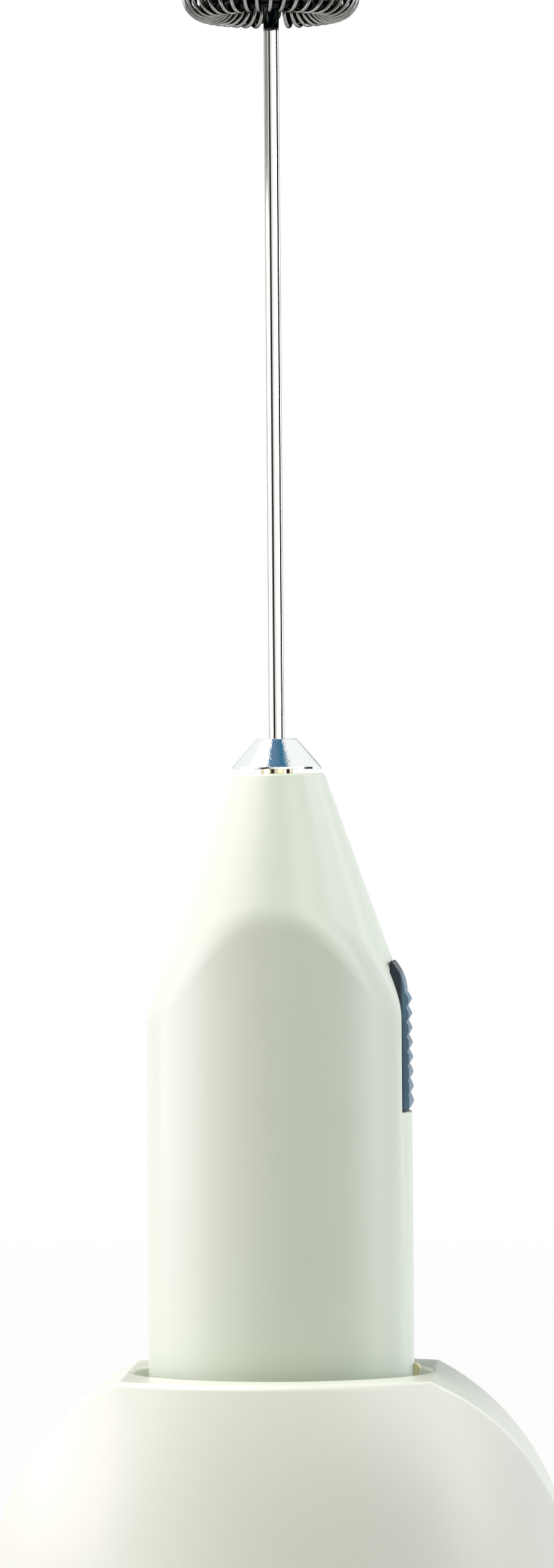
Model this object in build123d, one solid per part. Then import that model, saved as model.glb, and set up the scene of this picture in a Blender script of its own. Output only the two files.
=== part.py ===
from build123d import *
import math
import os

# Hand-held milk frother standing on its end in a counter stand, whisk up.
# Millimetres. +Z is up, +X is the switch side, -Y is the front.
# The origin lies on the table under the middle of the stand.

# Clearances
SLIDE_FIT = 0.15
RUN_FIT = 0.05
PUSH_FIT = 0.01
CONTACT_GAP = 0.1
MOVING_GAP = 0.3

# Stand
STAND_HEIGHT = 40.0
STAND_ARC_RADIUS = 30.9
STAND_ARC_X = 6.7
STAND_ARC_SWEEP_ANGLE = 64.9784634
STAND_RIM_HALF_DEPTH = 20.6
STAND_BASE_HALF_DEPTH = 24.6
STAND_PLAN_RADIUS = 44.0
STAND_WALL = 2.0
STAND_EDGE_ROUND = 1.0
MOUTH_GROW = 2.3
MOUTH_ROUND = 0.5
FUNNEL_DEPTH = 9.0
WELL_GROW = 0.45
WELL_WALL = 1.6
LEDGE_TOP = 12.4
LEDGE_THICKNESS = 1.8
LEDGE_REACH = 1.2
BASE_PLATE_THICKNESS = 2.0
FOOT_RADIUS = 4.0
FOOT_PROUD = 1.0
FOOT_SUNK = 0.8
FOOT_ROUND = 0.3
FOOT_X = 22.0
FOOT_Y = 9.5

# Grip and nose
GRIP_HALF_WIDTH = 17.2
GRIP_HALF_DEPTH = 12.6
GRIP_END_RADIUS = 9.8
BODY_WALL = 1.6
NOSE_RADIUS = 6.15
NOSE_ANGLE = math.radians(19.6)
NOSE_WALL = 2.2
NOSE_ROUND = 0.5
SHOULDER_ROUND = 8.0
LUG_RADIUS = 0.8
LUG_WIDTH = 3.0
LUG_RISE = 27.7
BUSH_WALL = 1.45
BUSH_LENGTH = 4.6
BUSH_RECESS = 0.3
BUSH_FLANGE = 1.0

# Cells and their contacts
CELL_RADIUS = 7.25
CELL_LENGTH = 50.5
CELL_NUB_RADIUS = 2.75
CELL_NUB_HEIGHT = 1.2
CELL_GAP = 0.7
CELL_ROUND = 0.5
STRIP = 0.4
LEAF_RISE = 2.5
LEAF_HALF_WIDTH = 2.5
LEAF_CREST = 1.0
LEAF_TIP = 0.8
LEAF_SHORT = 0.5
PAD_HALF_WIDTH = 3.5
PAD_HALF_LENGTH = 4.4
RISER_HALF_WIDTH = 1.5
TAIL_WIDTH = 1.4
TAIL_OFFSET = 3.0
TAB_LIFT = 1.0
TAB_ROOT = 2.0
TAB_OVERLAP = 1.0

# End cap
CAP_RECESS = 0.35
CAP_THICKNESS = 3.0
CAP_TONGUE_HEIGHT = 3.4
CAP_TONGUE_THICKNESS = 1.4
CAP_TONGUE_HALF_WIDTH = 5.5
CAP_GRIP_DEPTH = 1.4
CAP_GRIP_HALF_LENGTH = 6.0
CAP_GRIP_HALF_WIDTH = 2.0

# Chassis
BULKHEAD_THICKNESS = 2.0
MOTOR_SEAT = 3.5
SEAT_PAD = 2.2
LEG_HALF_WIDTH = 0.8
LEG_GAP = 0.25
LEG_LIFT = 6.0
POST_HALF_WIDTH = 4.8
POST_HEIGHT = 20.0

# Motor
MOTOR_RADIUS = 10.0
MOTOR_FLAT = 7.55
MOTOR_LENGTH = 25.0
MOTOR_CLEARANCE = 0.5
CAN_WALL = 0.9
CAN_ROUND = 0.6
BELL_THICKNESS = 2.5
BELL_SPIGOT = 2.0
BOSS_RADIUS = 3.1
BOSS_HEIGHT = 1.6
BEARING_RADIUS = 2.2
BEARING_LENGTH = 2.4
MAGNET_AIR_GAP = 0.35
MAGNET_HALF_ANGLE = math.radians(48.0)
MAGNET_OVERHANG = 2.0
MAGNET_END_GAP = 1.6
SHAFT_RADIUS = 1.0
CORE_RADIUS = 6.2
CORE_HUB_RADIUS = 2.6
CORE_LIFT = 12.5
POLE_COUNT = 3
POLE_HALF_WIDTH = 1.2
SHOE_THICKNESS = 1.1
SHOE_HALF_ANGLE = math.radians(48.0)
WINDING_THICKNESS = 1.2
WINDING_GAP = 0.1
COMMUTATOR_RADIUS = 2.4
COMMUTATOR_LENGTH = 3.4
COMMUTATOR_LIFT = 6.0
SEGMENT_THICKNESS = 0.5
SEGMENT_SLIT = 0.3
SLEEVE_SPARE = 1.5
BRUSH_WIDTH = 1.6
BRUSH_DEPTH = 1.2
BRUSH_ARM = 0.3
BRUSH_ARM_LENGTH = 4.0

# Switch
SWITCH_RISE = 2.05
SWITCH_LENGTH = 19.1
SWITCH_HALF_WIDTH = 4.0
SWITCH_SINK = 2.6
SWITCH_BACK_WALL = 1.4
RECESS_ROUND = 0.2
SWITCH_TRAVEL = 2.0
TOOTH_COUNT = 8
TOOTH_PITCH = 1.88
TOOTH_DEPTH = 0.55
TOOTH_PROUD = 0.22
TEETH_LEAN = 0.3
SWITCH_CROWN_RADIUS = 18.0
THUMB_FLAT = 0.2
THUMB_TIP = 0.3
STEM_HALF_WIDTH = 1.5
STEM_LENGTH = 3.0
STEM_LIFT = 7.4
FOOT_PLATE_THICKNESS = 1.2
FOOT_PLATE_HALF_WIDTH = 2.6
FOOT_PLATE_LENGTH = 6.8
DIMPLE_RADIUS = 0.6
DIMPLE_INSET = 0.2
DIMPLE_SPACING = 4.6
BLADE_HALF_WIDTH = 1.4
BLADE_LENGTH = 7.6
TERMINAL_SPLIT = 2.0
TERMINAL_PAD = 5.0

# Drive and whisk
COUPLING_RADIUS = 2.05
COUPLING_LIFT = 4.0
COUPLING_GRIP = 1.8
SHAFT_MEET_DROP = 6.0
SHAFT_MEET_GAP = 0.5
SPLASH_GAP = 0.6
SPLASH_RADIUS = 5.75
SPLASH_RIM = 0.25
SPLASH_HEIGHT = 3.9
SPLASH_TOP_RADIUS = 2.6
SPLASH_ROUND = 0.2
WHISK_REACH = 96.2
WHISK_SHAFT_RADIUS = 1.0
RING_RADIUS = 8.4
RING_BEND = 2.5
SHAFT_BEND = 3.0
RING_END_ANGLE = 78.0
COIL_WIRE_RADIUS = 0.225
COIL_LOOP_RADIUS = 2.92
COIL_TURNS = 37
COIL_START_ANGLE = 99.5
COIL_SWEEP_ANGLE = 340.5
COIL_REST_GAP = 0.15

# Levels, from the table up
BODY_BOTTOM = LEDGE_TOP + CONTACT_GAP
CAP_BOTTOM = BODY_BOTTOM + CAP_RECESS
CAP_TOP = CAP_BOTTOM + CAP_THICKNESS
BRIDGE_TOP = CAP_TOP + STRIP
RIGHT_CELL_BOTTOM = BRIDGE_TOP + CONTACT_GAP
LEFT_CELL_BOTTOM = BRIDGE_TOP + LEAF_RISE + CONTACT_GAP
PLATE_BOTTOM = LEFT_CELL_BOTTOM + CELL_LENGTH + CONTACT_GAP
BULKHEAD_BOTTOM = PLATE_BOTTOM + STRIP
BULKHEAD_TOP = BULKHEAD_BOTTOM + BULKHEAD_THICKNESS
MOTOR_BOTTOM = BULKHEAD_TOP + MOTOR_SEAT
CAN_BOTTOM = MOTOR_BOTTOM + BELL_THICKNESS
MOTOR_TOP = MOTOR_BOTTOM + MOTOR_LENGTH
CORE_LENGTH = MOTOR_LENGTH - CAN_WALL - MAGNET_END_GAP - MAGNET_OVERHANG - CORE_LIFT
MAGNET_LENGTH = CORE_LENGTH + 2 * MAGNET_OVERHANG
CONE_WALL = BODY_WALL / math.cos(NOSE_ANGLE)
NOSE_SLOPE = math.tan(NOSE_ANGLE)
NOSE_TOP = MOTOR_TOP + (MOTOR_RADIUS + MOTOR_CLEARANCE + CONE_WALL - NOSE_RADIUS) / NOSE_SLOPE
SWITCH_LOW = BULKHEAD_TOP + SWITCH_RISE
SPLASH_BOTTOM = NOSE_TOP + SPLASH_GAP
SPLASH_TOP = SPLASH_BOTTOM + SPLASH_HEIGHT
SHAFT_MEET = NOSE_TOP - SHAFT_MEET_DROP
COIL_Z = SPLASH_TOP + WHISK_REACH
RING_Z = COIL_Z - COIL_LOOP_RADIUS + COIL_WIRE_RADIUS + WHISK_SHAFT_RADIUS + COIL_REST_GAP

# Places across the grip
GRIP_END_X = GRIP_HALF_WIDTH - GRIP_END_RADIUS
GRIP_SIDE_RADIUS = (GRIP_END_X**2 + GRIP_HALF_DEPTH**2 - GRIP_END_RADIUS**2) / (
    2 * (GRIP_HALF_DEPTH - GRIP_END_RADIUS))
CELL_X = CELL_RADIUS + CELL_GAP / 2
SWITCH_FLOOR = GRIP_HALF_WIDTH - SWITCH_SINK
SWITCH_BACK = SWITCH_FLOOR - SWITCH_BACK_WALL
FOOT_PLATE_OUT = SWITCH_BACK - MOVING_GAP
BLADE_OUT = FOOT_PLATE_OUT - FOOT_PLATE_THICKNESS
BLADE_IN = BLADE_OUT - STRIP
STRIP_OUT = BLADE_IN - DIMPLE_RADIUS - CONTACT_GAP
POST_OUT = STRIP_OUT - STRIP
POST_IN = MOTOR_FLAT + CONTACT_GAP
FEED_TOP = SWITCH_LOW + STEM_LIFT + STEM_LENGTH
PAD_TOP = FEED_TOP + TERMINAL_SPLIT + TERMINAL_PAD
TAB_Z = MOTOR_BOTTOM + TAB_LIFT
STAND_ARC_Z = STAND_HEIGHT - STAND_ARC_RADIUS * math.sin(math.radians(STAND_ARC_SWEEP_ANGLE))

# Cuts run past the faces they open by PAST, or by ACROSS, which clears the whole object
PAST = BODY_WALL
ACROSS = 2 * (STAND_ARC_X + STAND_ARC_RADIUS)


def block(low, high):
    """Box between two opposite corners."""
    size = [b - a for a, b in zip(low, high)]
    middle = [(a + b) / 2 for a, b in zip(low, high)]
    return Pos(*middle) * Box(*size)


def drum(radius, low, high, x=0.0, y=0.0):
    """Upright cylinder between two levels."""
    return Pos(x, y, (low + high) / 2) * Cylinder(radius, high - low)


def pipe(outer, inner, low, high):
    """Upright tube between two levels."""
    return drum(outer, low, high) - drum(inner, low - PAST, high + PAST)


def oval(grow=0.0):
    """The grip's four-arc oval, moved outwards by grow."""
    across = GRIP_HALF_WIDTH + grow
    deep = GRIP_HALF_DEPTH + grow
    reach = (GRIP_SIDE_RADIUS + grow) / (GRIP_SIDE_RADIUS - GRIP_END_RADIUS)
    x = reach * GRIP_END_X
    y = (reach - 1) * (GRIP_SIDE_RADIUS - GRIP_HALF_DEPTH)
    back = ThreePointArc((-x, y), (0, deep), (x, y))
    right = ThreePointArc((x, y), (across, 0), (x, -y))
    front = ThreePointArc((x, -y), (0, -deep), (-x, -y))
    left = ThreePointArc((-x, -y), (-across, 0), (-x, y))
    return make_face([back, right, front, left])


def prism(grow, low, high):
    """Upright oval prism between two levels."""
    return Pos(0, 0, low) * extrude(oval(grow), amount=high - low, dir=(0, 0, 1))


def upright_plate(points, half_width):
    """Outline in X and Z, drawn out to half_width on both sides of Y = 0."""
    face = make_face(Polyline(*[(x, 0, z) for x, z in points], close=True))
    return Pos(0, -half_width, 0) * extrude(face, amount=2 * half_width, dir=(0, 1, 0))


def stand_form(inset, low):
    """Outside form of the stand moved in by inset, from the level low up to the rim."""
    radius = STAND_ARC_RADIUS - inset
    top = STAND_HEIGHT - inset
    turn = math.asin((top - STAND_ARC_Z) / radius)
    wide = STAND_ARC_X + radius
    end_x = STAND_ARC_X + radius * math.cos(turn)
    mid_x = STAND_ARC_X + radius * math.cos(turn / 2)
    mid_z = STAND_ARC_Z + radius * math.sin(turn / 2)
    outline = [
        Line((-wide, 0, low), (wide, 0, low)),
        Line((wide, 0, low), (wide, 0, STAND_ARC_Z)),
        ThreePointArc((wide, 0, STAND_ARC_Z), (mid_x, 0, mid_z), (end_x, 0, top)),
        Line((end_x, 0, top), (-end_x, 0, top)),
        ThreePointArc((-end_x, 0, top), (-mid_x, 0, mid_z), (-wide, 0, STAND_ARC_Z)),
        Line((-wide, 0, STAND_ARC_Z), (-wide, 0, low)),
    ]
    deep = 2 * STAND_BASE_HALF_DEPTH
    form = Pos(0, -deep, 0) * extrude(make_face(outline), amount=2 * deep, dir=(0, 1, 0))
    front = stand_bulge(inset, low)
    return form & front & mirror(front, Plane.XZ)


def stand_bulge(inset, low):
    """Drum whose bellied side is the front of the stand."""
    rise = STAND_HEIGHT - STAND_ARC_Z
    lean = STAND_BASE_HALF_DEPTH - STAND_RIM_HALF_DEPTH
    belly = (rise**2 + lean**2) / (2 * lean)
    out = STAND_PLAN_RADIUS - inset
    arc_radius = belly - inset
    centre = STAND_PLAN_RADIUS - belly
    turn = math.asin(rise / belly)
    top = (centre + arc_radius * math.cos(turn), 0, STAND_ARC_Z + arc_radius * math.sin(turn))
    mid = (centre + arc_radius * math.cos(turn / 2), 0, STAND_ARC_Z + arc_radius * math.sin(turn / 2))
    outline = [
        Line((0, 0, low), (out, 0, low)),
        Line((out, 0, low), (out, 0, STAND_ARC_Z)),
        ThreePointArc((out, 0, STAND_ARC_Z), mid, top),
        Line(top, (0, 0, top[2])),
        Line((0, 0, top[2]), (0, 0, low)),
    ]
    turned = revolve(make_face(outline), axis=Axis.Z)
    return Pos(0, STAND_PLAN_RADIUS - STAND_BASE_HALF_DEPTH, 0) * turned


def make_stand_shell():
    """Arched skin with the well that takes the frother moulded into it."""
    low = FOOT_PROUD
    outside = stand_form(0, low)
    edges = outside.edges().filter_by(lambda e: e.center().Z > low + PAST)
    outside = fillet(edges, STAND_EDGE_ROUND)
    inside = stand_form(STAND_WALL, low - PAST)
    ledge_bottom = LEDGE_TOP - LEDGE_THICKNESS
    funnel_bottom = STAND_HEIGHT - FUNNEL_DEPTH
    tube = prism(WELL_GROW + WELL_WALL, ledge_bottom, STAND_HEIGHT)
    collar = funnel(WELL_WALL, funnel_bottom)
    shell = (outside - inside) + ((tube + collar) & outside)
    shell -= funnel(0, funnel_bottom) + prism(WELL_GROW, LEDGE_TOP, funnel_bottom)
    shell -= prism(-LEDGE_REACH, ledge_bottom - PAST, LEDGE_TOP + PAST)
    lip = shell.edges().filter_by(lambda e: on_mouth(e))
    return fillet(lip, MOUTH_ROUND)


def funnel(grow, low):
    """Flared mouth of the well, moved outwards by grow."""
    narrow = Pos(0, 0, low) * oval(WELL_GROW + grow)
    wide = Pos(0, 0, STAND_HEIGHT) * oval(MOUTH_GROW + grow)
    return loft([narrow, wide], ruled=True)


def on_mouth(edge):
    """True for the edges of the oval mouth in the rim's flat top."""
    middle = edge.position_at(0.5)
    flat = abs(middle.Z - STAND_HEIGHT) < CONTACT_GAP
    inside = abs(middle.X) < GRIP_HALF_WIDTH + MOUTH_GROW + CONTACT_GAP
    return flat and inside and abs(middle.Y) < GRIP_HALF_DEPTH + MOUTH_GROW + CONTACT_GAP


def foot_places():
    """Centres of the four feet."""
    return [(x, y) for x in (-FOOT_X, FOOT_X) for y in (-FOOT_Y, FOOT_Y)]


def make_stand_base_plate():
    """Plate that closes the bottom of the stand, with pockets for the feet."""
    low = FOOT_PROUD
    plate = stand_form(STAND_WALL + SLIDE_FIT, low)
    plate &= block((-ACROSS, -ACROSS, low), (ACROSS, ACROSS, low + BASE_PLATE_THICKNESS))
    for x, y in foot_places():
        plate -= drum(FOOT_RADIUS, low - PAST, low + FOOT_SUNK, x, y)
    return plate


def make_stand_feet():
    """Rubber pads that stand proud of the base plate."""
    high = FOOT_PROUD + FOOT_SUNK
    pads = [drum(FOOT_RADIUS - PUSH_FIT, 0, high, x, y) for x, y in foot_places()]
    return [fillet(pad.edges().sort_by(Axis.Z)[0], FOOT_ROUND) for pad in pads]


def nose_cone(shrink, top):
    """The nose's cone moved in by shrink, from the bottom of the body up to top."""
    end = NOSE_RADIUS + (NOSE_TOP - top) * NOSE_SLOPE - shrink / math.cos(NOSE_ANGLE)
    base = end + (top - BODY_BOTTOM) * NOSE_SLOPE
    return Pos(0, 0, (BODY_BOTTOM + top) / 2) * Cone(base, end, top - BODY_BOTTOM)


def make_body_shell():
    """Oval grip with a round conical nose, a switch recess and a hollow for the works."""
    outside = prism(0, BODY_BOTTOM, NOSE_TOP) & nose_cone(0, NOSE_TOP)
    plain = (GeomType.LINE, GeomType.CIRCLE)
    shoulder = outside.edges().filter_by(lambda e: e.geom_type not in plain)
    outside = fillet(shoulder, SHOULDER_ROUND)
    outside = fillet(outside.faces().sort_by(Axis.Z)[-1].edges(), NOSE_ROUND)
    lug = Rot(90, 0, 0) * Cylinder(LUG_RADIUS, LUG_WIDTH)
    lug = Pos(GRIP_HALF_WIDTH, 0, BODY_BOTTOM + LUG_RISE) * lug
    ceiling = NOSE_TOP - NOSE_WALL
    hollow = prism(-BODY_WALL, BODY_BOTTOM, ceiling) & nose_cone(BODY_WALL, ceiling)
    recess_low = SWITCH_LOW - MOVING_GAP
    recess_wide = SWITCH_HALF_WIDTH + MOVING_GAP
    seat_wide = recess_wide + SWITCH_BACK_WALL
    seat_low = recess_low - SWITCH_BACK_WALL
    hollow -= block((SWITCH_BACK, -seat_wide, seat_low), (ACROSS, seat_wide, NOSE_TOP))
    shell = outside + lug - hollow
    shell -= block((SWITCH_FLOOR, -recess_wide, recess_low), (ACROSS, recess_wide, NOSE_TOP))
    shell = fillet(shell.edges().filter_by(lambda e: on_recess_rim(e)), RECESS_ROUND)
    slot_low = SWITCH_LOW + STEM_LIFT - MOVING_GAP
    slot_high = SWITCH_LOW + STEM_LIFT + STEM_LENGTH + SWITCH_TRAVEL + MOVING_GAP
    slot_wide = STEM_HALF_WIDTH + SLIDE_FIT
    slot_low_corner = (SWITCH_BACK - PAST, -slot_wide, slot_low)
    shell -= block(slot_low_corner, (SWITCH_FLOOR + PAST, slot_wide, slot_high))
    shell -= drum(COUPLING_RADIUS + RUN_FIT + BUSH_WALL, ceiling - PAST, NOSE_TOP + PAST)
    return shell


def on_recess_rim(edge):
    """True for the edges where the switch recess opens in the grip's side."""
    low = SWITCH_LOW - MOVING_GAP
    wide = SWITCH_HALF_WIDTH + MOVING_GAP
    ends = [edge.position_at(0), edge.position_at(1)]
    outside = all(end.X > SWITCH_FLOOR + RECESS_ROUND for end in ends)
    inside = all(abs(end.Y) < wide + CONTACT_GAP and end.Z > low - CONTACT_GAP for end in ends)
    return outside and inside


def make_nose_bush():
    """Flanged bush pushed up into the nose from inside."""
    outer = COUPLING_RADIUS + RUN_FIT + BUSH_WALL - PUSH_FIT
    high = NOSE_TOP - BUSH_RECESS
    flange_high = NOSE_TOP - NOSE_WALL
    low = high - BUSH_LENGTH
    bush = drum(outer, low, high)
    bush += drum(outer + BUSH_FLANGE, flange_high - BUSH_FLANGE, flange_high)
    return bush - drum(COUPLING_RADIUS + RUN_FIT, low - PAST, high + PAST)


def make_chassis():
    """Bulkhead with legs beside the cells, posts beside the motor and pads under it."""
    fit = BODY_WALL + SLIDE_FIT
    frame = prism(-fit, BULKHEAD_BOTTOM, BULKHEAD_TOP)
    legs_low = LEFT_CELL_BOTTOM + LEG_LIFT
    outline = prism(-fit, legs_low, BULKHEAD_BOTTOM)
    inner = CELL_RADIUS + LEG_GAP
    for x in (-CELL_X, CELL_X):
        for y in (-ACROSS, inner):
            low = (x - LEG_HALF_WIDTH, y, legs_low)
            high = (x + LEG_HALF_WIDTH, y + ACROSS - inner, BULKHEAD_BOTTOM)
            frame += block(low, high) & outline
    post_top = BULKHEAD_TOP + POST_HEIGHT
    for low_x, high_x in ((-POST_OUT, -POST_IN), (POST_IN, POST_OUT)):
        frame += block((low_x, -POST_HALF_WIDTH, BULKHEAD_TOP), (high_x, POST_HALF_WIDTH, post_top))
    for x in (-1, 1):
        for y in (-1, 1):
            near = (x * (MOTOR_FLAT - SEAT_PAD), y * (MOTOR_FLAT - SEAT_PAD), BULKHEAD_TOP)
            far = (x * MOTOR_FLAT, y * MOTOR_FLAT, MOTOR_BOTTOM)
            low = [min(a, b) for a, b in zip(near, far)]
            high = [max(a, b) for a, b in zip(near, far)]
            frame += block(low, high)
    for side in (-1, 1):
        xs = sorted((side * (POST_OUT - SLIDE_FIT), side * (STRIP_OUT + SLIDE_FIT)))
        wide = RISER_HALF_WIDTH + SLIDE_FIT
        frame -= block((xs[0], -wide, BULKHEAD_BOTTOM - PAST), (xs[1], wide, BULKHEAD_TOP))
    for tab in tab_boxes(SLIDE_FIT):
        frame -= tab
    return frame


def tab_boxes(grow):
    """The motor's two tabs, with grow added all round for the holes they pass through."""
    tabs = []
    for side in (-1, 1):
        xs = sorted((side * (MOTOR_FLAT - TAB_ROOT), side * (POST_OUT - PUSH_FIT + grow)))
        ys = sorted((side * TAIL_OFFSET, side * (TAIL_OFFSET + TAIL_WIDTH)))
        low = (xs[0], ys[0] - grow, TAB_Z - grow)
        high = (xs[1], ys[1] + grow, TAB_Z + STRIP + grow)
        tabs.append(block(low, high))
    return tabs


def motor_section(radius, flat, low, high):
    """Round drum with two flats across X."""
    return drum(radius, low, high) & block((-flat, -ACROSS, low), (flat, ACROSS, high))


def make_motor_can():
    """Drawn steel can with a bearing boss on its closed end."""
    outside = motor_section(MOTOR_RADIUS, MOTOR_FLAT, CAN_BOTTOM, MOTOR_TOP)
    outside = fillet(outside.faces().sort_by(Axis.Z)[-1].edges(), CAN_ROUND)
    outside += drum(BOSS_RADIUS, MOTOR_TOP, MOTOR_TOP + BOSS_HEIGHT)
    inside = motor_section(
        MOTOR_RADIUS - CAN_WALL, MOTOR_FLAT - CAN_WALL, CAN_BOTTOM - PAST, MOTOR_TOP - CAN_WALL)
    can = outside - inside
    return can - drum(BEARING_RADIUS, MOTOR_TOP - CAN_WALL - PAST, MOTOR_TOP + BOSS_HEIGHT + PAST)


def make_motor_end_bell():
    """Moulded end of the motor with the rear bearing boss and slots for the tabs."""
    bell = motor_section(MOTOR_RADIUS, MOTOR_FLAT, MOTOR_BOTTOM, CAN_BOTTOM)
    inner_radius = MOTOR_RADIUS - CAN_WALL - PUSH_FIT
    inner_flat = MOTOR_FLAT - CAN_WALL - PUSH_FIT
    spigot_top = CAN_BOTTOM + BELL_SPIGOT
    bell += motor_section(inner_radius, inner_flat, CAN_BOTTOM, spigot_top)
    bell += drum(BOSS_RADIUS, MOTOR_BOTTOM - BOSS_HEIGHT, MOTOR_BOTTOM)
    bell -= drum(BEARING_RADIUS, MOTOR_BOTTOM - BOSS_HEIGHT - PAST, spigot_top + PAST)
    for tab in tab_boxes(0):
        bell -= tab
    return bell


def make_motor_terminals():
    """Two tabs that leave the end bell through its flats."""
    return tab_boxes(0)


def make_motor_bearings():
    """Front and rear sleeve bearings."""
    outer = BEARING_RADIUS - PUSH_FIT
    inner = SHAFT_RADIUS + RUN_FIT
    front_high = MOTOR_TOP + BOSS_HEIGHT
    rear_low = MOTOR_BOTTOM - BOSS_HEIGHT
    front = pipe(outer, inner, front_high - BEARING_LENGTH, front_high)
    rear = pipe(outer, inner, rear_low, rear_low + BEARING_LENGTH)
    return [front, rear]


def arc_block(outer, inner, low, high, half_angle, middle):
    """Arc of a tube, half_angle each side of the direction middle (radians)."""
    def spot(radius, angle):
        return (radius * math.cos(angle), radius * math.sin(angle))

    start, end = middle - half_angle, middle + half_angle
    outline = [
        ThreePointArc(spot(outer, start), spot(outer, middle), spot(outer, end)),
        Line(spot(outer, end), spot(inner, end)),
        ThreePointArc(spot(inner, end), spot(inner, middle), spot(inner, start)),
        Line(spot(inner, start), spot(outer, start)),
    ]
    return Pos(0, 0, low) * extrude(make_face(outline), amount=high - low, dir=(0, 0, 1))


def make_motor_magnets():
    """Two arc magnets against the can's round sides."""
    middle = MOTOR_BOTTOM + CORE_LIFT + CORE_LENGTH / 2
    low = middle - MAGNET_LENGTH / 2
    outer = MOTOR_RADIUS - CAN_WALL - PUSH_FIT
    inner = CORE_RADIUS + MAGNET_AIR_GAP
    high = low + MAGNET_LENGTH
    room = MOTOR_FLAT - CAN_WALL - PUSH_FIT
    halves = []
    for angle in (math.pi / 2, -math.pi / 2):
        magnet = arc_block(outer, inner, low, high, MAGNET_HALF_ANGLE, angle)
        halves.append(magnet & block((-room, -ACROSS, low), (room, ACROSS, high)))
    return halves


def make_motor_brushes():
    """Carbon blocks on spring arms that stand on the end bell beside the commutator."""
    brushes = []
    foot = CAN_BOTTOM + BELL_SPIGOT
    middle = MOTOR_BOTTOM + COMMUTATOR_LIFT + COMMUTATOR_LENGTH / 2
    front = COMMUTATOR_RADIUS + RUN_FIT
    back = front + BRUSH_DEPTH
    wide = BRUSH_WIDTH / 2
    for side in (-1, 1):
        ys = sorted((side * front, side * back))
        carbon = block((-wide, ys[0], middle - wide), (wide, ys[1], middle + wide))
        ys = sorted((side * back, side * (back + BRUSH_ARM)))
        brushes.append(carbon + block((-wide, ys[0], foot), (wide, ys[1], foot + BRUSH_ARM_LENGTH)))
    return brushes


def make_rotor_shaft():
    """Motor shaft, from the rear bearing up into the coupling."""
    return drum(SHAFT_RADIUS, MOTOR_BOTTOM - BOSS_HEIGHT, SHAFT_MEET - SHAFT_MEET_GAP)


def pole_angle(index):
    """Direction of one rotor pole in degrees."""
    return 90 + index * 360 / POLE_COUNT


def make_rotor_core():
    """Stack of laminations: hub, arms and curved shoes."""
    low = MOTOR_BOTTOM + CORE_LIFT
    high = low + CORE_LENGTH
    core = drum(CORE_HUB_RADIUS, low, high)
    for index in range(POLE_COUNT):
        reach = CORE_RADIUS - SHOE_THICKNESS / 2
        arm = block((0, -POLE_HALF_WIDTH, low), (reach, POLE_HALF_WIDTH, high))
        core += Rot(0, 0, pole_angle(index)) * arm
        shoe = arc_block(CORE_RADIUS, CORE_RADIUS - SHOE_THICKNESS, low, high, SHOE_HALF_ANGLE, 0)
        core += Rot(0, 0, pole_angle(index)) * shoe
    return core - drum(SHAFT_RADIUS + PUSH_FIT, low - PAST, high + PAST)


def make_rotor_windings():
    """One wound block round each arm of the rotor."""
    low = MOTOR_BOTTOM + CORE_LIFT
    high = low + CORE_LENGTH
    near = CORE_HUB_RADIUS + WINDING_THICKNESS
    far = CORE_RADIUS - SHOE_THICKNESS - WINDING_GAP
    wide = POLE_HALF_WIDTH + WINDING_THICKNESS
    hole = POLE_HALF_WIDTH + WINDING_GAP
    lobes = []
    for index in range(POLE_COUNT):
        lobe = block((near, -wide, low - WINDING_THICKNESS), (far, wide, high + WINDING_THICKNESS))
        lobe -= block((near - PAST, -hole, low - WINDING_GAP), (far + PAST, hole, high + WINDING_GAP))
        lobe &= drum(far, low - WINDING_THICKNESS - PAST, high + WINDING_THICKNESS + PAST)
        lobes.append(Rot(0, 0, pole_angle(index)) * lobe)
    return lobes


def make_commutator_sleeve():
    """Insulating sleeve pressed on the rotor shaft."""
    low = MOTOR_BOTTOM + COMMUTATOR_LIFT
    high = low + COMMUTATOR_LENGTH + SLEEVE_SPARE
    return pipe(COMMUTATOR_RADIUS - SEGMENT_THICKNESS, SHAFT_RADIUS + PUSH_FIT, low, high)


def make_commutator_segments():
    """Copper segments on the sleeve, split by slits."""
    low = MOTOR_BOTTOM + COMMUTATOR_LIFT
    inner = COMMUTATOR_RADIUS - SEGMENT_THICKNESS + PUSH_FIT
    half = math.pi / POLE_COUNT - SEGMENT_SLIT / 2 / COMMUTATOR_RADIUS
    pieces = []
    for index in range(POLE_COUNT):
        angle = math.radians(pole_angle(index))
        pieces.append(arc_block(COMMUTATOR_RADIUS, inner, low, low + COMMUTATOR_LENGTH, half, angle))
    return pieces


def make_drive_coupling():
    """Brass sleeve that joins the motor shaft to the whisk shaft."""
    low = MOTOR_TOP + COUPLING_LIFT
    return pipe(COUPLING_RADIUS, SHAFT_RADIUS + PUSH_FIT, low, SPLASH_BOTTOM + COUPLING_GRIP)


def make_splash_cone():
    """Turned collar above the nose."""
    rim = SPLASH_BOTTOM + SPLASH_RIM
    points = [
        (0, 0, SPLASH_BOTTOM),
        (SPLASH_RADIUS, 0, SPLASH_BOTTOM),
        (SPLASH_RADIUS, 0, rim),
        (SPLASH_TOP_RADIUS, 0, SPLASH_TOP),
        (0, 0, SPLASH_TOP),
    ]
    cone = revolve(make_face(Polyline(*points, close=True)), axis=Axis.Z)
    cone = fillet(cone.edges().group_by(Axis.Z)[-1], SPLASH_ROUND)
    socket_top = SPLASH_BOTTOM + COUPLING_GRIP + CONTACT_GAP
    cone -= drum(COUPLING_RADIUS + PUSH_FIT, SPLASH_BOTTOM - PAST, socket_top)
    return cone - drum(WHISK_SHAFT_RADIUS + PUSH_FIT, SPLASH_BOTTOM - PAST, SPLASH_TOP + PAST)


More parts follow.
